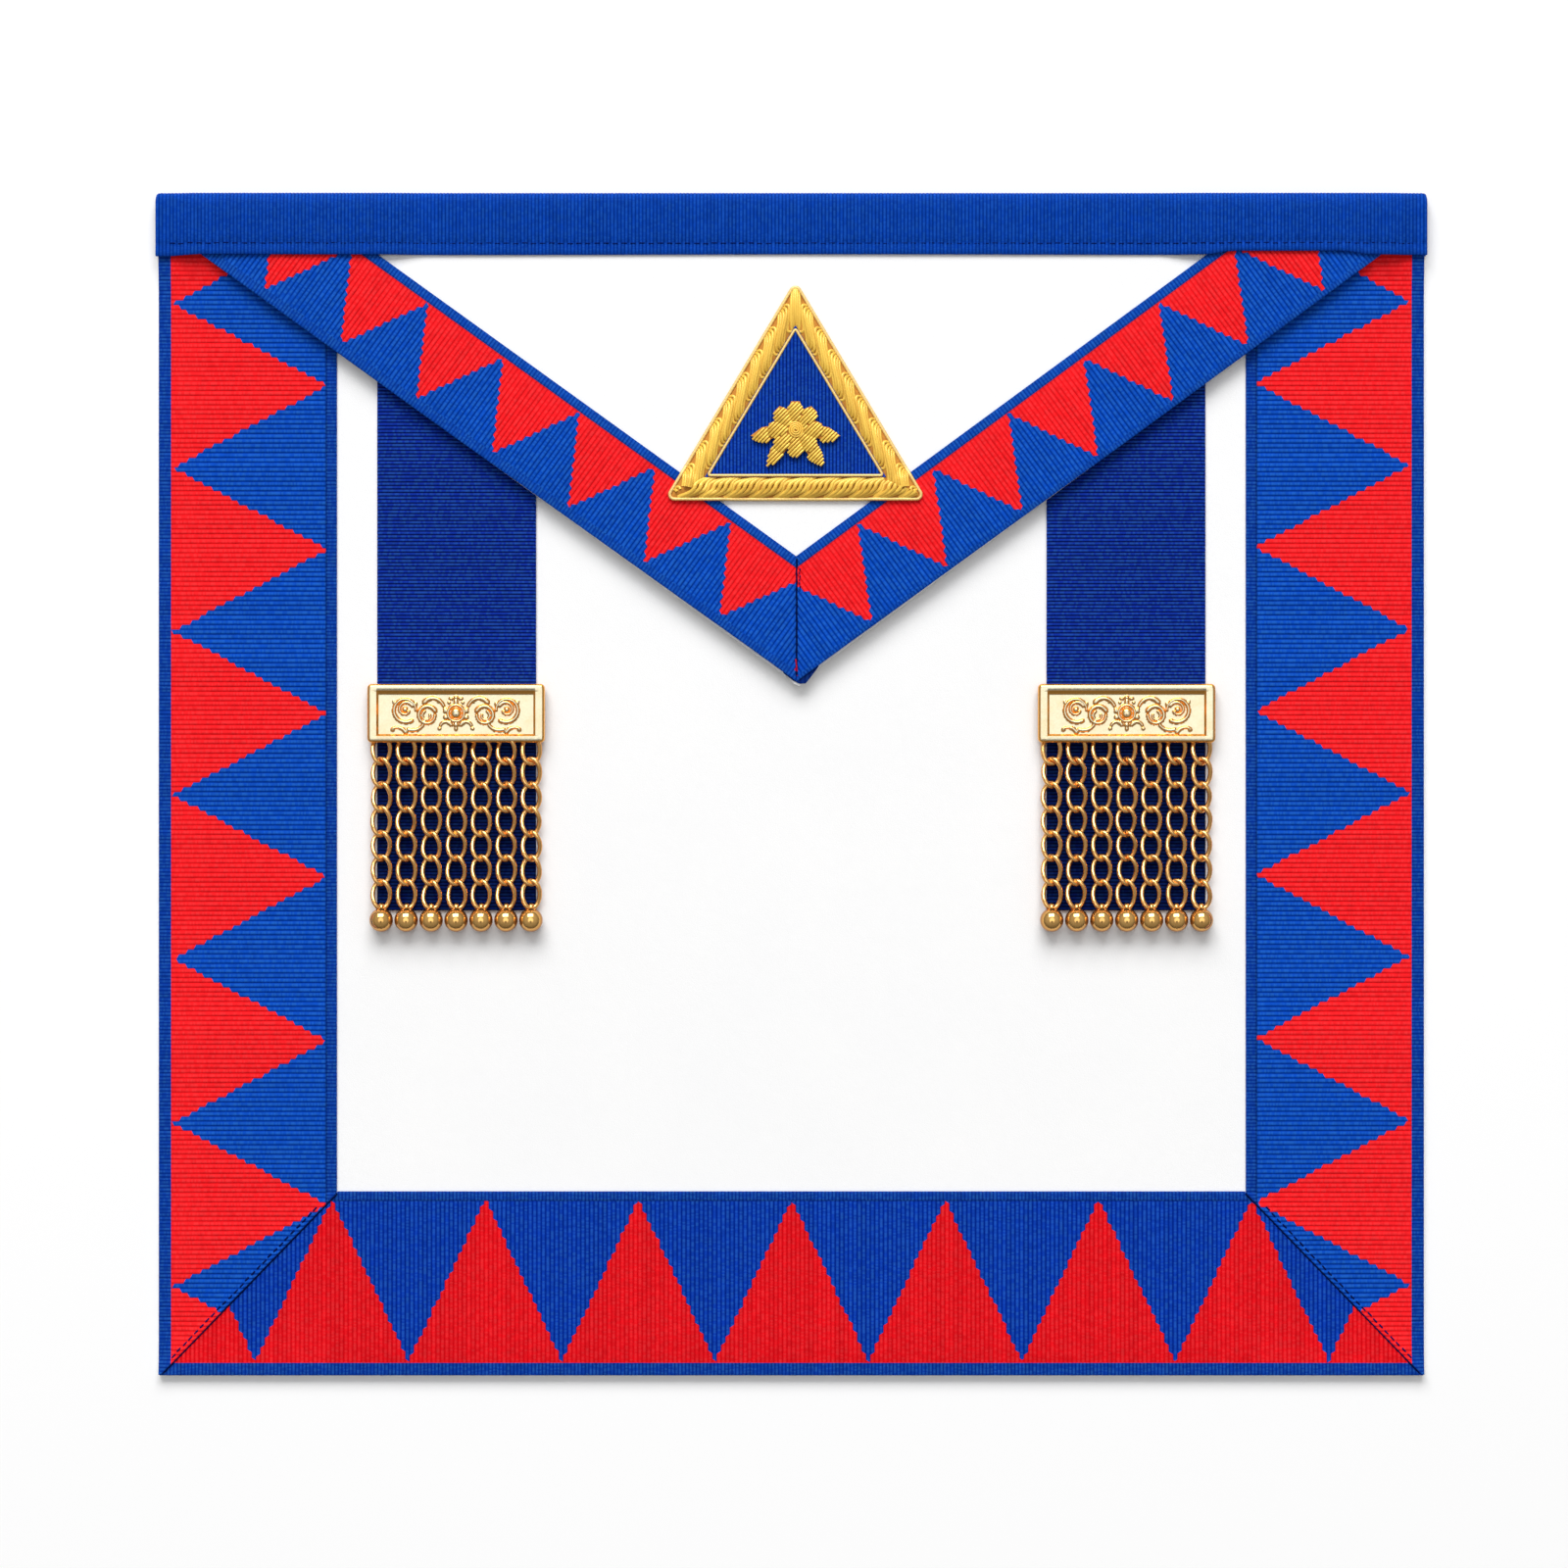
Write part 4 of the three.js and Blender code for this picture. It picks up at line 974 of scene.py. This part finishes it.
PADDING_POINTS = 240  # the arcs of the corners and the runs between them
PADDING_ROUND = np.array([[0.3, 0.1], [0.3, 0.3], [1.2, 0.5], [2.3, 1.0], [4.2, 1.35],
                          [6.1, 1.0], [7.2, 0.55], [7.6, 0.4], [7.6, 0.1]])
padding_rings = []
for inset, rise in PADDING_ROUND:
    outline = emblem_outline(inset, PADDING_POINTS, max(0.3, 1.5 - 0.5 * inset))
    sunk = seat(outline[:, 0], outline[:, 1], inset)
    foot = np.where(sunk < 0, 1.15, EMBLEM_Z - 0.05)
    height = foot if rise < 0.2 else EMBLEM_Z + rise + sunk
    padding_rings.append(on_flap(outline[:, 0], outline[:, 1], height))
padding_rings = np.array(padding_rings)
ring_index = np.arange(len(PADDING_ROUND) * PADDING_POINTS).reshape(-1, PADDING_POINTS)
ring_next = np.roll(ring_index, -1, 1)
padding_faces = places(ring_index, ring_next, np.roll(ring_next, -1, 0),
                       np.roll(ring_index, -1, 0)).reshape(-1, 4)
padding = make_piece("emblem_padding", padding_rings, padding_faces, padding_finish)
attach(padding, "root")


def purl_paths(length, slope, first, last, pitch, gather, limit_low, limit_high):
    """Threads over one side of the border, in bundles. Each crosses from the outer edge
    (across 0) to the inner one while it runs slope times as far along. The threads of a bundle
    draw together at both ends and its middle stands highest. A mitre cuts what passes it."""
    middles = np.arange(first, last, pitch)
    rank = np.linspace(-1, 1, BUNDLE_THREADS)
    start = (middles[:, None] + rank * pitch * 0.46).ravel()
    from_middle = np.tile(rank, len(middles))
    cut_low = np.where(slope < limit_low, start / (limit_low - slope), BORDER_BAND)
    cut_high = (length - start) / (slope + limit_high) if slope + limit_high > 0.05 else 99.0
    end = np.clip(np.minimum(cut_low, cut_high), 0, PURL_TO)
    kept = (end > PURL_FROM + 0.8) & (start > 1.2) & (start < length - 2.6)
    start, from_middle, end = start[kept], from_middle[kept], end[kept]
    across = PURL_FROM + np.linspace(0, 1, 15) * (end[:, None] - PURL_FROM)
    share = (across - PURL_FROM + 0.1) / (PURL_TO - PURL_FROM + 0.2)
    draw = gather * from_middle[:, None] * pitch * 0.46 * (1 - np.sin(np.pi * share) ** 0.7)
    along = start[:, None] + slope * across - draw
    along = along + 0.25 * pitch * np.sin(2 * np.pi * share) * gather
    crown = PURL_SHOULDER + PURL_CROWN * np.sin(np.pi * share) ** 0.75
    crown = crown + 0.9 * (1 - from_middle[:, None] ** 2) * np.sin(np.pi * share)
    crown = crown + 0.10 * from_middle[:, None]
    return along, across, crown


# On the two sloping sides the threads stand upright, as the apex's own mitre does
side_slope = -1 / np.tan(half_apex)
side_along, side_across, side_crown = purl_paths(
    slant_length, side_slope, 5.0, slant_length + 13.0, 8.5, 0.7, 1 / np.tan(half_foot), 0.0)
# On the base they rise to the right
base_along, base_across, base_crown = purl_paths(
    EMBLEM_BASE, 1.72, 2.5, EMBLEM_BASE, 8.0, 0.75, 1 / np.tan(half_foot),
    1 / np.tan(half_foot))


def band_to_flap(along, across, rise, origin, run, inward):
    """Places on one side of the border, from along, across and rise, in the apron's frame."""
    x = origin[0] + along * run[0] + across * inward[0]
    y = origin[1] + along * run[1] + across * inward[1]
    return on_flap(x, y, EMBLEM_Z + rise + seat(x, y, across))


foot_corner = (EMBLEM_X - EMBLEM_BASE / 2, emblem_base_y)
upward = (np.sin(half_apex), np.cos(half_apex))
left_purl = band_to_flap(side_along, side_across, side_crown, foot_corner, upward,
                         (np.cos(half_apex), -np.sin(half_apex)))
right_purl = left_purl * [-1, 1, 1] + [2 * EMBLEM_X, 0, 0]
base_purl = band_to_flap(base_along, base_across, base_crown, foot_corner, (1, 0), (0, 1))
# One more bundle hangs down the apex's mitre, from under the outer cord to the inner one
apex_x = np.linspace(-1.4, 1.4, BUNDLE_THREADS)[:, None]
apex_share = np.linspace(0, 1, 15)
apex_top = EMBLEM_APEX_Y - 3.9 + np.sqrt(2.2 - apex_x ** 2)
apex_low = EMBLEM_APEX_Y - 14.6 - np.abs(apex_x) / np.tan(half_apex)
apex_purl = on_flap(
    EMBLEM_X + apex_x * (0.55 + 0.45 * np.sin(np.pi * apex_share) ** 0.5),
    apex_top + (apex_low - apex_top) * apex_share,
    EMBLEM_Z - 0.7 + PURL_SHOULDER + (PURL_CROWN + 0.3) * np.sin(np.pi * apex_share) ** 0.75)
purl_sides = [left_purl, right_purl, base_purl, apex_purl]
purl_radii = np.repeat([PURL_RADIUS, PURL_RADIUS, BASE_PURL_RADIUS, PURL_RADIUS],
                       [len(threads) for threads in purl_sides])[:, None]
purl = make_threads("emblem_purl", np.concatenate(purl_sides), purl_radii, purl_finish,
                    pressed=PURL_PRESSED)
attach(purl, "root")
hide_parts("emblem_frame")

for cord_name, cord_inset, rounding, cord_rise, cord_radius in (
        ("emblem_outer_cord", 0.3, 1.5, 0.5, 0.55), ("emblem_inner_cord", 7.85, 0.5, 1.3, 0.45)):
    outline = emblem_outline(cord_inset, 480, rounding)
    cord_path = on_flap(outline[:, 0], outline[:, 1], EMBLEM_Z + cord_rise
                        + seat(outline[:, 0], outline[:, 1], cord_inset))
    cord = make_threads(cord_name, cord_path[None], cord_radius, cord_finish, sides=8,
                        closed=True)
    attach(cord, "root")

# ---- Worked flower --------------------------------------------------------------------------
# A flower with eight petals and four leaves stands in the triangle, cut from felt and covered
# with satin stitch in gold. Every stitch slants the same way and goes down at the edge of its
# own petal, which leaves the edge finely toothed. A coil of purl makes the eye.
PETALS = 8
PETAL_REACH = 8.6
PETAL_NOTCH = 2.2
EYE_RADIUS = 2.6
LEAF_REACH = 14.6
LEAF_HALF_WIDTH = 2.3
LEAF_TURNS = np.radians([-10, -52, 190, 232])
FLOWER_Y = emblem_base_y + BORDER_BAND + 14.4
FLOWER_Z = 3.9
STITCH_STEP = 0.92
STITCH_RADIUS = 0.45
STITCH_SLANT = np.radians(45)


def petal_inside(x, y, turn):
    """Inside one petal: within a rounded outline and a narrow gap off its two neighbours."""
    radius, angle = np.hypot(x, y), np.arctan2(y, x) - turn
    angle = (angle + np.pi) % (2 * np.pi) - np.pi
    half = np.pi / PETALS
    reach = PETAL_REACH - PETAL_NOTCH * np.clip(np.abs(angle) / half, 0, 1) ** 2.5
    side_gap = radius * np.sin(np.clip(half - np.abs(angle), -1, 1))
    return (np.abs(angle) < half) & (radius < reach) & (radius > EYE_RADIUS) & (side_gap > 0.22)


def leaf_inside(x, y, turn):
    """Inside one leaf: a lens along its own axis, outside the petals."""
    along = x * np.cos(turn) + y * np.sin(turn)
    across = -x * np.sin(turn) + y * np.cos(turn)
    share = np.clip((along - EYE_RADIUS) / (LEAF_REACH - EYE_RADIUS), 0, 1)
    return (np.abs(across) < 4 * LEAF_HALF_WIDTH * share * (1 - share)) & (along > 8.7)


def satin_paths(inside, turn, top, arch):
    """Stitches over one shape: parallel lines in the stitch's slant are cut where they enter
    and leave it, and each stretch is carried over the padding in a low arch."""
    offsets = np.arange(-15.5, 15.5, STITCH_STEP)
    spots = np.arange(-15.5, 15.5, 0.05)
    run = np.array([np.cos(STITCH_SLANT), np.sin(STITCH_SLANT)])
    side = np.array([-run[1], run[0]])
    offset, spot = offsets[:, None], spots[None, :]
    hit = inside(spot * run[0] + offset * side[0], spot * run[1] + offset * side[1], turn)
    edge = np.diff(np.pad(hit, ((0, 0), (1, 1))).astype(int), axis=1)
    line, enters = np.nonzero(edge == 1)
    leaves = np.nonzero(edge == -1)[1]
    kept = leaves - enters > 8
    line, enters, leaves = line[kept], enters[kept], leaves[kept]
    low = spots[enters] - 0.12 - 0.2 * chance.random(len(line))
    high = spots[leaves - 1] + 0.12 + 0.2 * chance.random(len(line))
    share = np.linspace(0, 1, 9)
    at = low[:, None] + share * (high - low)[:, None]
    x = at * run[0] + offsets[line][:, None] * side[0]
    y = at * run[1] + offsets[line][:, None] * side[1]
    lift = arch * np.minimum((high - low) / 4, 1)[:, None] * np.sin(np.pi * share) ** 0.7
    return on_flap(EMBLEM_X + x, FLOWER_Y + y, top - 0.1 + lift)


satin = [satin_paths(petal_inside, turn, FLOWER_Z + 1.0, 0.45)
         for turn in np.arange(PETALS) * 2 * np.pi / PETALS]
satin += [satin_paths(leaf_inside, turn, FLOWER_Z + 0.7, 0.4) for turn in LEAF_TURNS]
satin_finish = thread_finish("gold_satin", (1.0, 0.68, 0.11, 1), (0.50, 0.22, 0.02, 1),
                             0.4, 0.5, 0.2)
petals = make_threads("flower_satin", np.concatenate(satin), STITCH_RADIUS, satin_finish)
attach(petals, "root")
coil_turn = np.linspace(0, 2 * np.pi * 3.4, 90)
coil_radius = 0.3 + (EYE_RADIUS - 0.35) * coil_turn / coil_turn[-1]
coil_rise = FLOWER_Z + 1.85 - 0.75 * (coil_radius / EYE_RADIUS) ** 2
coil_path = on_flap(EMBLEM_X + coil_radius * np.cos(coil_turn),
                    FLOWER_Y + coil_radius * np.sin(coil_turn), coil_rise)
flower_eye = make_threads("flower_eye", coil_path[None], 0.36, purl_finish, sides=8)
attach(flower_eye, "root")
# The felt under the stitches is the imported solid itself
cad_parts["emblem_flower"].data.materials.clear()
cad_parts["emblem_flower"].data.materials.append(padding_finish)

# ---- Tassel ribbons -------------------------------------------------------------------------
# Two navy ribbons with cross ribs hang from the waistband under the flap and lie on the kid.
# Each ends between the lowest links of its tassel.
TASSEL_X = 107.5
TASSEL_HALF = 25.5
TASSEL_END_Y = -40.5
TASSEL_RIB = 1.13
TASSEL_RIB_DEPTH = 0.2
NAVY = dye(3, 25, 129)
TASSEL_LINES = np.array([0, 0.3, 0.8, 1.6, 13, 25.5, 38, 49.4, 50.2, 50.7, 51])
hang_along, hang_number, hang_height = ribs(TASSEL_END_Y, SKIN_TOP_Y, TASSEL_RIB)
# Behind the chains the ribbon's colour is darkened: a painted shadow of the chains
navy_finish = plain_ribbed_finish("navy_cloth", NAVY, 0.5, (0.34, 1.42, 0.034),
                                  chain_shadow_ribs=50, left_in_shadow=0.3, crossing_length=0.7)
hang_across, hang_y = TASSEL_LINES[None, :], hang_along[:, None]
hang_selvage = np.clip(np.minimum(hang_across, 2 * TASSEL_HALF - hang_across), 0.3, 1)
for side, name in ((-1, "left"), (1, "right")):
    hang_x = side * TASSEL_X - TASSEL_HALF + hang_across
    base = ON_SKIN + climb(hang_y)
    swell = 0.08 * np.sin(hang_y / 17 + side) * np.sin(np.pi * hang_across / (2 * TASSEL_HALF))
    rib = hang_height[:, None] * hang_selvage
    top_z = (base + RIBBON_THICK - TASSEL_RIB_DEPTH * (1 - rib) + swell
             - edge_fall(hang_across, 2 * TASSEL_HALF))
    ribbon = make_sheet("tassel_strip_" + name, places(hang_x, hang_y, top_z),
                        places(hang_x, hang_y, base), navy_finish,
                        places(hang_across, hang_number[:, None]))
    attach(ribbon, "root")
    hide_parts("tassel_ribbon_" + name)

# ---- Gilt plaques ---------------------------------------------------------------------------
# Each tassel hangs from a cast plaque of gilt brass across the ribbon: a raised flat frame with
# rounded outer edges, and in it a sunk field with a rosette between pairs of scrolls.
PLAQUE_HALF = (28.45, 9.45)
PLAQUE_LOW_Y = 13.3
PLAQUE_BACK_Z = 2.65
PLAQUE_DEPTH = 3.8
PLAQUE_CORNER = 1.5
PLAQUE_EDGE_ROUND = 1.1
FIELD_HALF = (25.5, 7.35)
FIELD_SLOPE = 0.7
FIELD_UPPER_SLOPE = 1.3  # the upper wall of the field leans more, and shows as a dark band
FIELD_SINK = 0.85
STROKE_WIDER = 1.35
STROKE_HIGHER = 1.2
PLAQUE_GRID = 0.21
# The strokes of the right half: middle x, y, first and last radius, start and turn in degrees
# (a spiral), then the stroke's half width at its start and its end, and its height
SPIRALS = np.array([
    [9.2, -0.6, 2.9, 2.5, 150, -330, 0.55, 0.35, 0.55],
    [9.3, -0.8, 1.6, 1.0, 60, -260, 0.35, 0.25, 0.35],
    [16.2, 1.0, 3.9, 3.3, -120, 300, 0.5, 0.35, 0.5],
    [16.2, 1.2, 2.5, 1.3, 150, -300, 0.4, 0.3, 0.45],
    [7.8, 1.3, 4.0, 3.2, 165, -120, 0.35, 0.6, 0.45],
    [13.4, -1.2, 3.6, 4.4, 200, 95, 0.3, 0.5, 0.4],
    [18.9, -7.6, 3.2, 3.0, 150, -90, 0.5, 0.3, 0.4],
    [3.2, -4.6, 1.9, 1.9, 20, 130, 0.3, 0.45, 0.35],
    [0.0, 0.0, 2.6, 2.6, -90, 180, 0.38, 0.38, 0.5],
])
# Domes of the right half: middle x, y, half width, half height, rise
DOMES = np.array([
    [0.0, 0.0, 1.7, 1.7, 0.9], [0.0, 3.55, 0.75, 1.1, 0.55], [0.0, 5.0, 0.8, 0.65, 0.5],
    [1.55, 4.7, 0.8, 0.55, 0.45], [2.2, 3.4, 0.5, 0.5, 0.35], [0.0, -3.7, 0.9, 0.75, 0.55],
    [0.0, -4.95, 0.55, 0.7, 0.4], [3.45, 0.9, 0.75, 0.95, 0.45], [3.3, -1.3, 0.75, 0.8, 0.45],
    [2.3, -3.1, 0.7, 0.6, 0.4], [16.3, 1.2, 0.95, 0.95, 0.65], [20.3, -5.3, 0.65, 0.55, 0.4],
    [12.5, -5.5, 0.6, 0.5, 0.35], [12.9, 2.9, 0.55, 0.75, 0.4], [5.3, -4.9, 0.6, 0.5, 0.35],
    [5.6, 3.9, 0.5, 0.7, 0.35], [19.9, 3.6, 0.45, 0.65, 0.3],
])


def relief_height(x, y):
    """Height of the cast ornament: the greatest of all strokes and domes at each place. Both
    have a round section, which is the root of 1 - (distance / half width) squared."""
    x = np.abs(x)
    height = np.zeros_like(x)
    share = np.linspace(0, 1, 40)
    for cx, cy, first, last, start, turn, wide, narrow, rise in SPIRALS:
        angle = np.radians(start + turn * share)
        radius = first + (last - first) * share
        half = STROKE_WIDER * (wide + (narrow - wide) * share)
        away_x = x[..., None] - (cx + radius * np.cos(angle))
        away_y = y[..., None] - (cy + radius * np.sin(angle))
        round_ = 1 - (away_x ** 2 + away_y ** 2) / half ** 2
        stroke = np.sqrt(np.clip(round_, 0, 1)).max(-1)
        height = np.maximum(height, STROKE_HIGHER * rise * stroke)
    for cx, cy, half_x, half_y, rise in DOMES:
        round_ = 1 - ((x - cx) / half_x) ** 2 - ((y - cy) / half_y) ** 2
        height = np.maximum(height, rise * np.sqrt(np.clip(round_, 0, 1)))
    return height


def plaque_lines(half, field_half):
    """Grid lines across the plaque: close together on its rounded edge and on the slope down
    to the field, and evenly fine over the field."""
    edge = half - PLAQUE_EDGE_ROUND * np.array([0, 0.03, 0.12, 0.28, 0.5, 0.75, 1.0])
    slope = field_half + np.array([0.0, -0.08, -0.3, -0.5, -0.62, -0.7])
    inner = np.linspace(0, slope[-1] - PLAQUE_GRID, int(slope[-1] / PLAQUE_GRID))
    right = np.concatenate([inner, slope[::-1], edge[::-1]])
    return np.concatenate([-right[:0:-1], right])


plaque_u, plaque_v = np.meshgrid(plaque_lines(PLAQUE_HALF[0], FIELD_HALF[0]),
                                 plaque_lines(PLAQUE_HALF[1], FIELD_HALF[1]))
corner_x = np.maximum(np.abs(plaque_u) - (PLAQUE_HALF[0] - PLAQUE_CORNER), 0)
corner_y = np.maximum(np.abs(plaque_v) - (PLAQUE_HALF[1] - PLAQUE_CORNER), 0)
corner_far = np.maximum(np.hypot(corner_x, corner_y), 1e-9)
pull = np.maximum(corner_x, corner_y) / corner_far
plaque_x = plaque_u - np.sign(plaque_u) * corner_x * (1 - pull)
plaque_y = plaque_v - np.sign(plaque_v) * corner_y * (1 - pull)
from_edge = np.minimum(PLAQUE_HALF[0] - np.abs(plaque_u), PLAQUE_HALF[1] - np.abs(plaque_v))
edge_share = np.clip(1 - from_edge / PLAQUE_EDGE_ROUND, 0, 1)
edge_low = PLAQUE_EDGE_ROUND * (1 - np.sqrt(1 - edge_share ** 2))
into_field = np.minimum(FIELD_HALF[0] - np.abs(plaque_u), FIELD_HALF[1] - np.abs(plaque_v))
upper_wall = np.clip((FIELD_HALF[1] - plaque_v) / FIELD_UPPER_SLOPE, 0, 1)
sink = FIELD_SINK * np.minimum(np.clip(into_field / FIELD_SLOPE, 0, 1), upper_wall)
ornament = relief_height(plaque_x, plaque_y) * (into_field > FIELD_SLOPE)
plaque_front = PLAQUE_BACK_Z + PLAQUE_DEPTH - edge_low - sink + ornament
GILT_METAL = 0.84  # the rest is the glow of the coloured lacquer


def gilt_finish(name, gold, deep, roughness, flat_to, slope_from):
    """Polished gilt brass with painted reflection and shade: pale where it lies flat and deeper
    on its slopes, with soft clouds, fine scratches and an uneven polish."""
    finish, tree, shader = new_finish(name, roughness, metallic=GILT_METAL)
    place = object_place(tree)
    cloud = node(tree, "ShaderNodeTexNoise", place, None, 180.0, 4.0)
    # Painted reflection and shade: pale where the surface faces up, deeper on its slopes
    slope_shade = step_between(tree, facing_up(tree), flat_to, slope_from)
    worn = step_between(tree, cloud, 0.35, 0.8, 0.0, 0.25)
    tint = mixed(tree, calc(tree, "MAXIMUM", slope_shade, worn), gold, deep)
    tree.links.new(tint, shader["Base Color"])
    scratch = node(tree, "ShaderNodeTexNoise", place, None, 1400.0, 2.0)
    tree.links.new(step_between(tree, scratch, 0.3, 0.7, roughness * 0.8, roughness * 1.35),
                   shader["Roughness"])
    add_bump(tree, shader, scratch, 0.25, 0.00002)
    return finish


plaque_finish = gilt_finish("gilt_plaque", (0.80, 0.74, 0.52, 1), (0.95, 0.45, 0.09, 1), 0.18,
                            flat_to=0.995, slope_from=0.88)
chain_finish = gilt_finish("gilt_chain", (1.0, 0.58, 0.20, 1), (0.82, 0.33, 0.075, 1), 0.17,
                           flat_to=0.9, slope_from=0.3)
ball_finish = gilt_finish("gilt_ball", (1.0, 0.58, 0.18, 1), (0.46, 0.19, 0.04, 1), 0.09,
                          flat_to=0.9, slope_from=0.3)

# ---- Chains and balls -----------------------------------------------------------------------
# Seven curb chains hang from each plaque: seven oval links of round wire, every link's two
# ends twisted out of its plane, and a polished ball on a short neck. The uppermost link is
# soldered into the plaque's lower edge.
CHAINS = 7
FREE_LINKS = 6
CHAIN_PITCH = 8.0
LINK_PITCH = 7.826
FIRST_LINK_Y = 3.7
LINK_Z = 4.15
SOLDERED_LINK_Y = 11.1
LINK_HALF = (2.82, 4.5)
WIRE_RADIUS = 0.77
LINK_TWIST = np.radians(40)
LINK_STEPS = 26
WIRE_STEPS = 8
BALL_RADIUS = 3.82
BALL_Y = -43.55
BALL_Z = 5.1


def link_points(middle, twist, lean):
    """Oval links (n, steps, wire, 3): a flattened oval whose wire is carried round it, then
    turned about the chain's axis by the twist, one way at its top and the other at its foot."""
    round_ = np.arange(LINK_STEPS) / LINK_STEPS * 2 * np.pi
    wire = np.arange(WIRE_STEPS) / WIRE_STEPS * 2 * np.pi
    c, s = np.cos(round_)[:, None], np.sin(round_)[:, None]
    oval_x, oval_y = np.sign(c) * np.abs(c) ** 0.86, np.sign(s) * np.abs(s) ** 0.9
    out_x = LINK_HALF[1] * c / np.hypot(LINK_HALF[1] * c, LINK_HALF[0] * s)
    out_y = LINK_HALF[0] * s / np.hypot(LINK_HALF[1] * c, LINK_HALF[0] * s)
    x = LINK_HALF[0] * oval_x + WIRE_RADIUS * np.cos(wire) * out_x
    y = LINK_HALF[1] * oval_y + WIRE_RADIUS * np.cos(wire) * out_y
    z = WIRE_RADIUS * np.sin(wire) + 0 * x
    turn = -twist[:, None, None] * oval_y[None] + lean[:, None, None]
    turned_x = x * np.cos(turn) + z * np.sin(turn)
    turned_z = -x * np.sin(turn) + z * np.cos(turn)
    return places(turned_x, y, turned_z) + middle[:, None, None, :]


def ring_faces(count, steps, sides):
    """Faces of rings that close both ways, count of them."""
    index = np.arange(steps * sides).reshape(steps, sides)
    forward = np.roll(index, -1, 0)
    one = places(index, forward, np.roll(forward, -1, 1), np.roll(index, -1, 1))
    first = np.arange(count)[:, None, None] * steps * sides
    return (one.reshape(1, -1, 4) + first).reshape(-1, 4)


def turned_ball(middle):
    """A ball with its neck, turned as one profile about the chain's own line: radii and heights
    down the line, from the neck's crown to the ball's foot, closed by a point at each end."""
    polar = np.linspace(np.arcsin(0.85 / BALL_RADIUS), np.pi, 17)[:-1]
    radius = np.concatenate([[0.5, 0.78, 0.78, 0.6], BALL_RADIUS * np.sin(polar)])
    height = np.concatenate([[5.35, 5.1, 4.6, 4.1], BALL_RADIUS * np.cos(polar)])
    turn = np.arange(28) / 28 * 2 * np.pi
    rows, sides = len(radius), len(turn)
    lift = np.where(height > BALL_RADIUS, (height - BALL_RADIUS) * (LINK_Z - BALL_Z) / 1.3, 0)
    points = places(radius[:, None] * np.cos(turn), height[:, None],
                    radius[:, None] * np.sin(turn) + lift[:, None]).reshape(-1, 3)
    ends = np.array([[0, 5.45, lift[0]], [0, -BALL_RADIUS, 0]])
    index = np.arange(rows * sides).reshape(rows, sides)
    wall = places(index[:-1], np.roll(index[:-1], -1, 1), np.roll(index[1:], -1, 1), index[1:])
    wall = wall.reshape(-1, 4)
    crown = places(rows * sides, np.roll(index[0], -1), index[0], -1)
    foot = places(rows * sides + 1, index[-1], np.roll(index[-1], -1), -1)
    return np.concatenate([points, ends]) + middle, np.concatenate([wall, crown, foot])


for side, name in ((-1, "left"), (1, "right")):
    middle_x = side * TASSEL_X
    shift = np.array([middle_x, PLAQUE_LOW_Y + PLAQUE_HALF[1], 0])
    front = places(plaque_x, plaque_y, plaque_front) + shift
    back = places(plaque_x, plaque_y, PLAQUE_BACK_Z) + shift
    plaque = make_sheet("plaque_" + name, front, back, plaque_finish)
    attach(plaque, "root")
    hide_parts("tassel_plaque_" + name)
    chain_x = middle_x + (np.arange(CHAINS) - (CHAINS - 1) / 2) * CHAIN_PITCH
    soldered_links = link_points(places(chain_x, SOLDERED_LINK_Y, LINK_Z),
                                 LINK_TWIST * (1 + 0.15 * chance.normal(size=CHAINS)),
                                 0.08 * chance.normal(size=CHAINS))
    fixed = make_piece("soldered_links_" + name, soldered_links,
                       ring_faces(CHAINS, LINK_STEPS, WIRE_STEPS), chain_finish)
    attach(fixed, "root")
    for i, x in enumerate(chain_x):
        drop = FIRST_LINK_Y - LINK_PITCH * np.arange(FREE_LINKS)
        sway = 0.10 * chance.normal(size=FREE_LINKS)
        links = link_points(places(x + sway, drop, LINK_Z),
                            LINK_TWIST * (1 + 0.14 * chance.normal(size=FREE_LINKS)),
                            0.09 * chance.normal(size=FREE_LINKS))
        chain = make_piece(f"chain_{name}_{i + 1}", links,
                           ring_faces(FREE_LINKS, LINK_STEPS, WIRE_STEPS), chain_finish)
        ball_points, ball_faces = turned_ball(np.array([x, BALL_Y, BALL_Z]))
        ball = make_piece(f"ball_{name}_{i + 1}", ball_points, ball_faces, ball_finish)
        for piece in (chain, ball):
            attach(piece, "root")
        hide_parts(f"tassel_chain_{name}_{i + 1}")
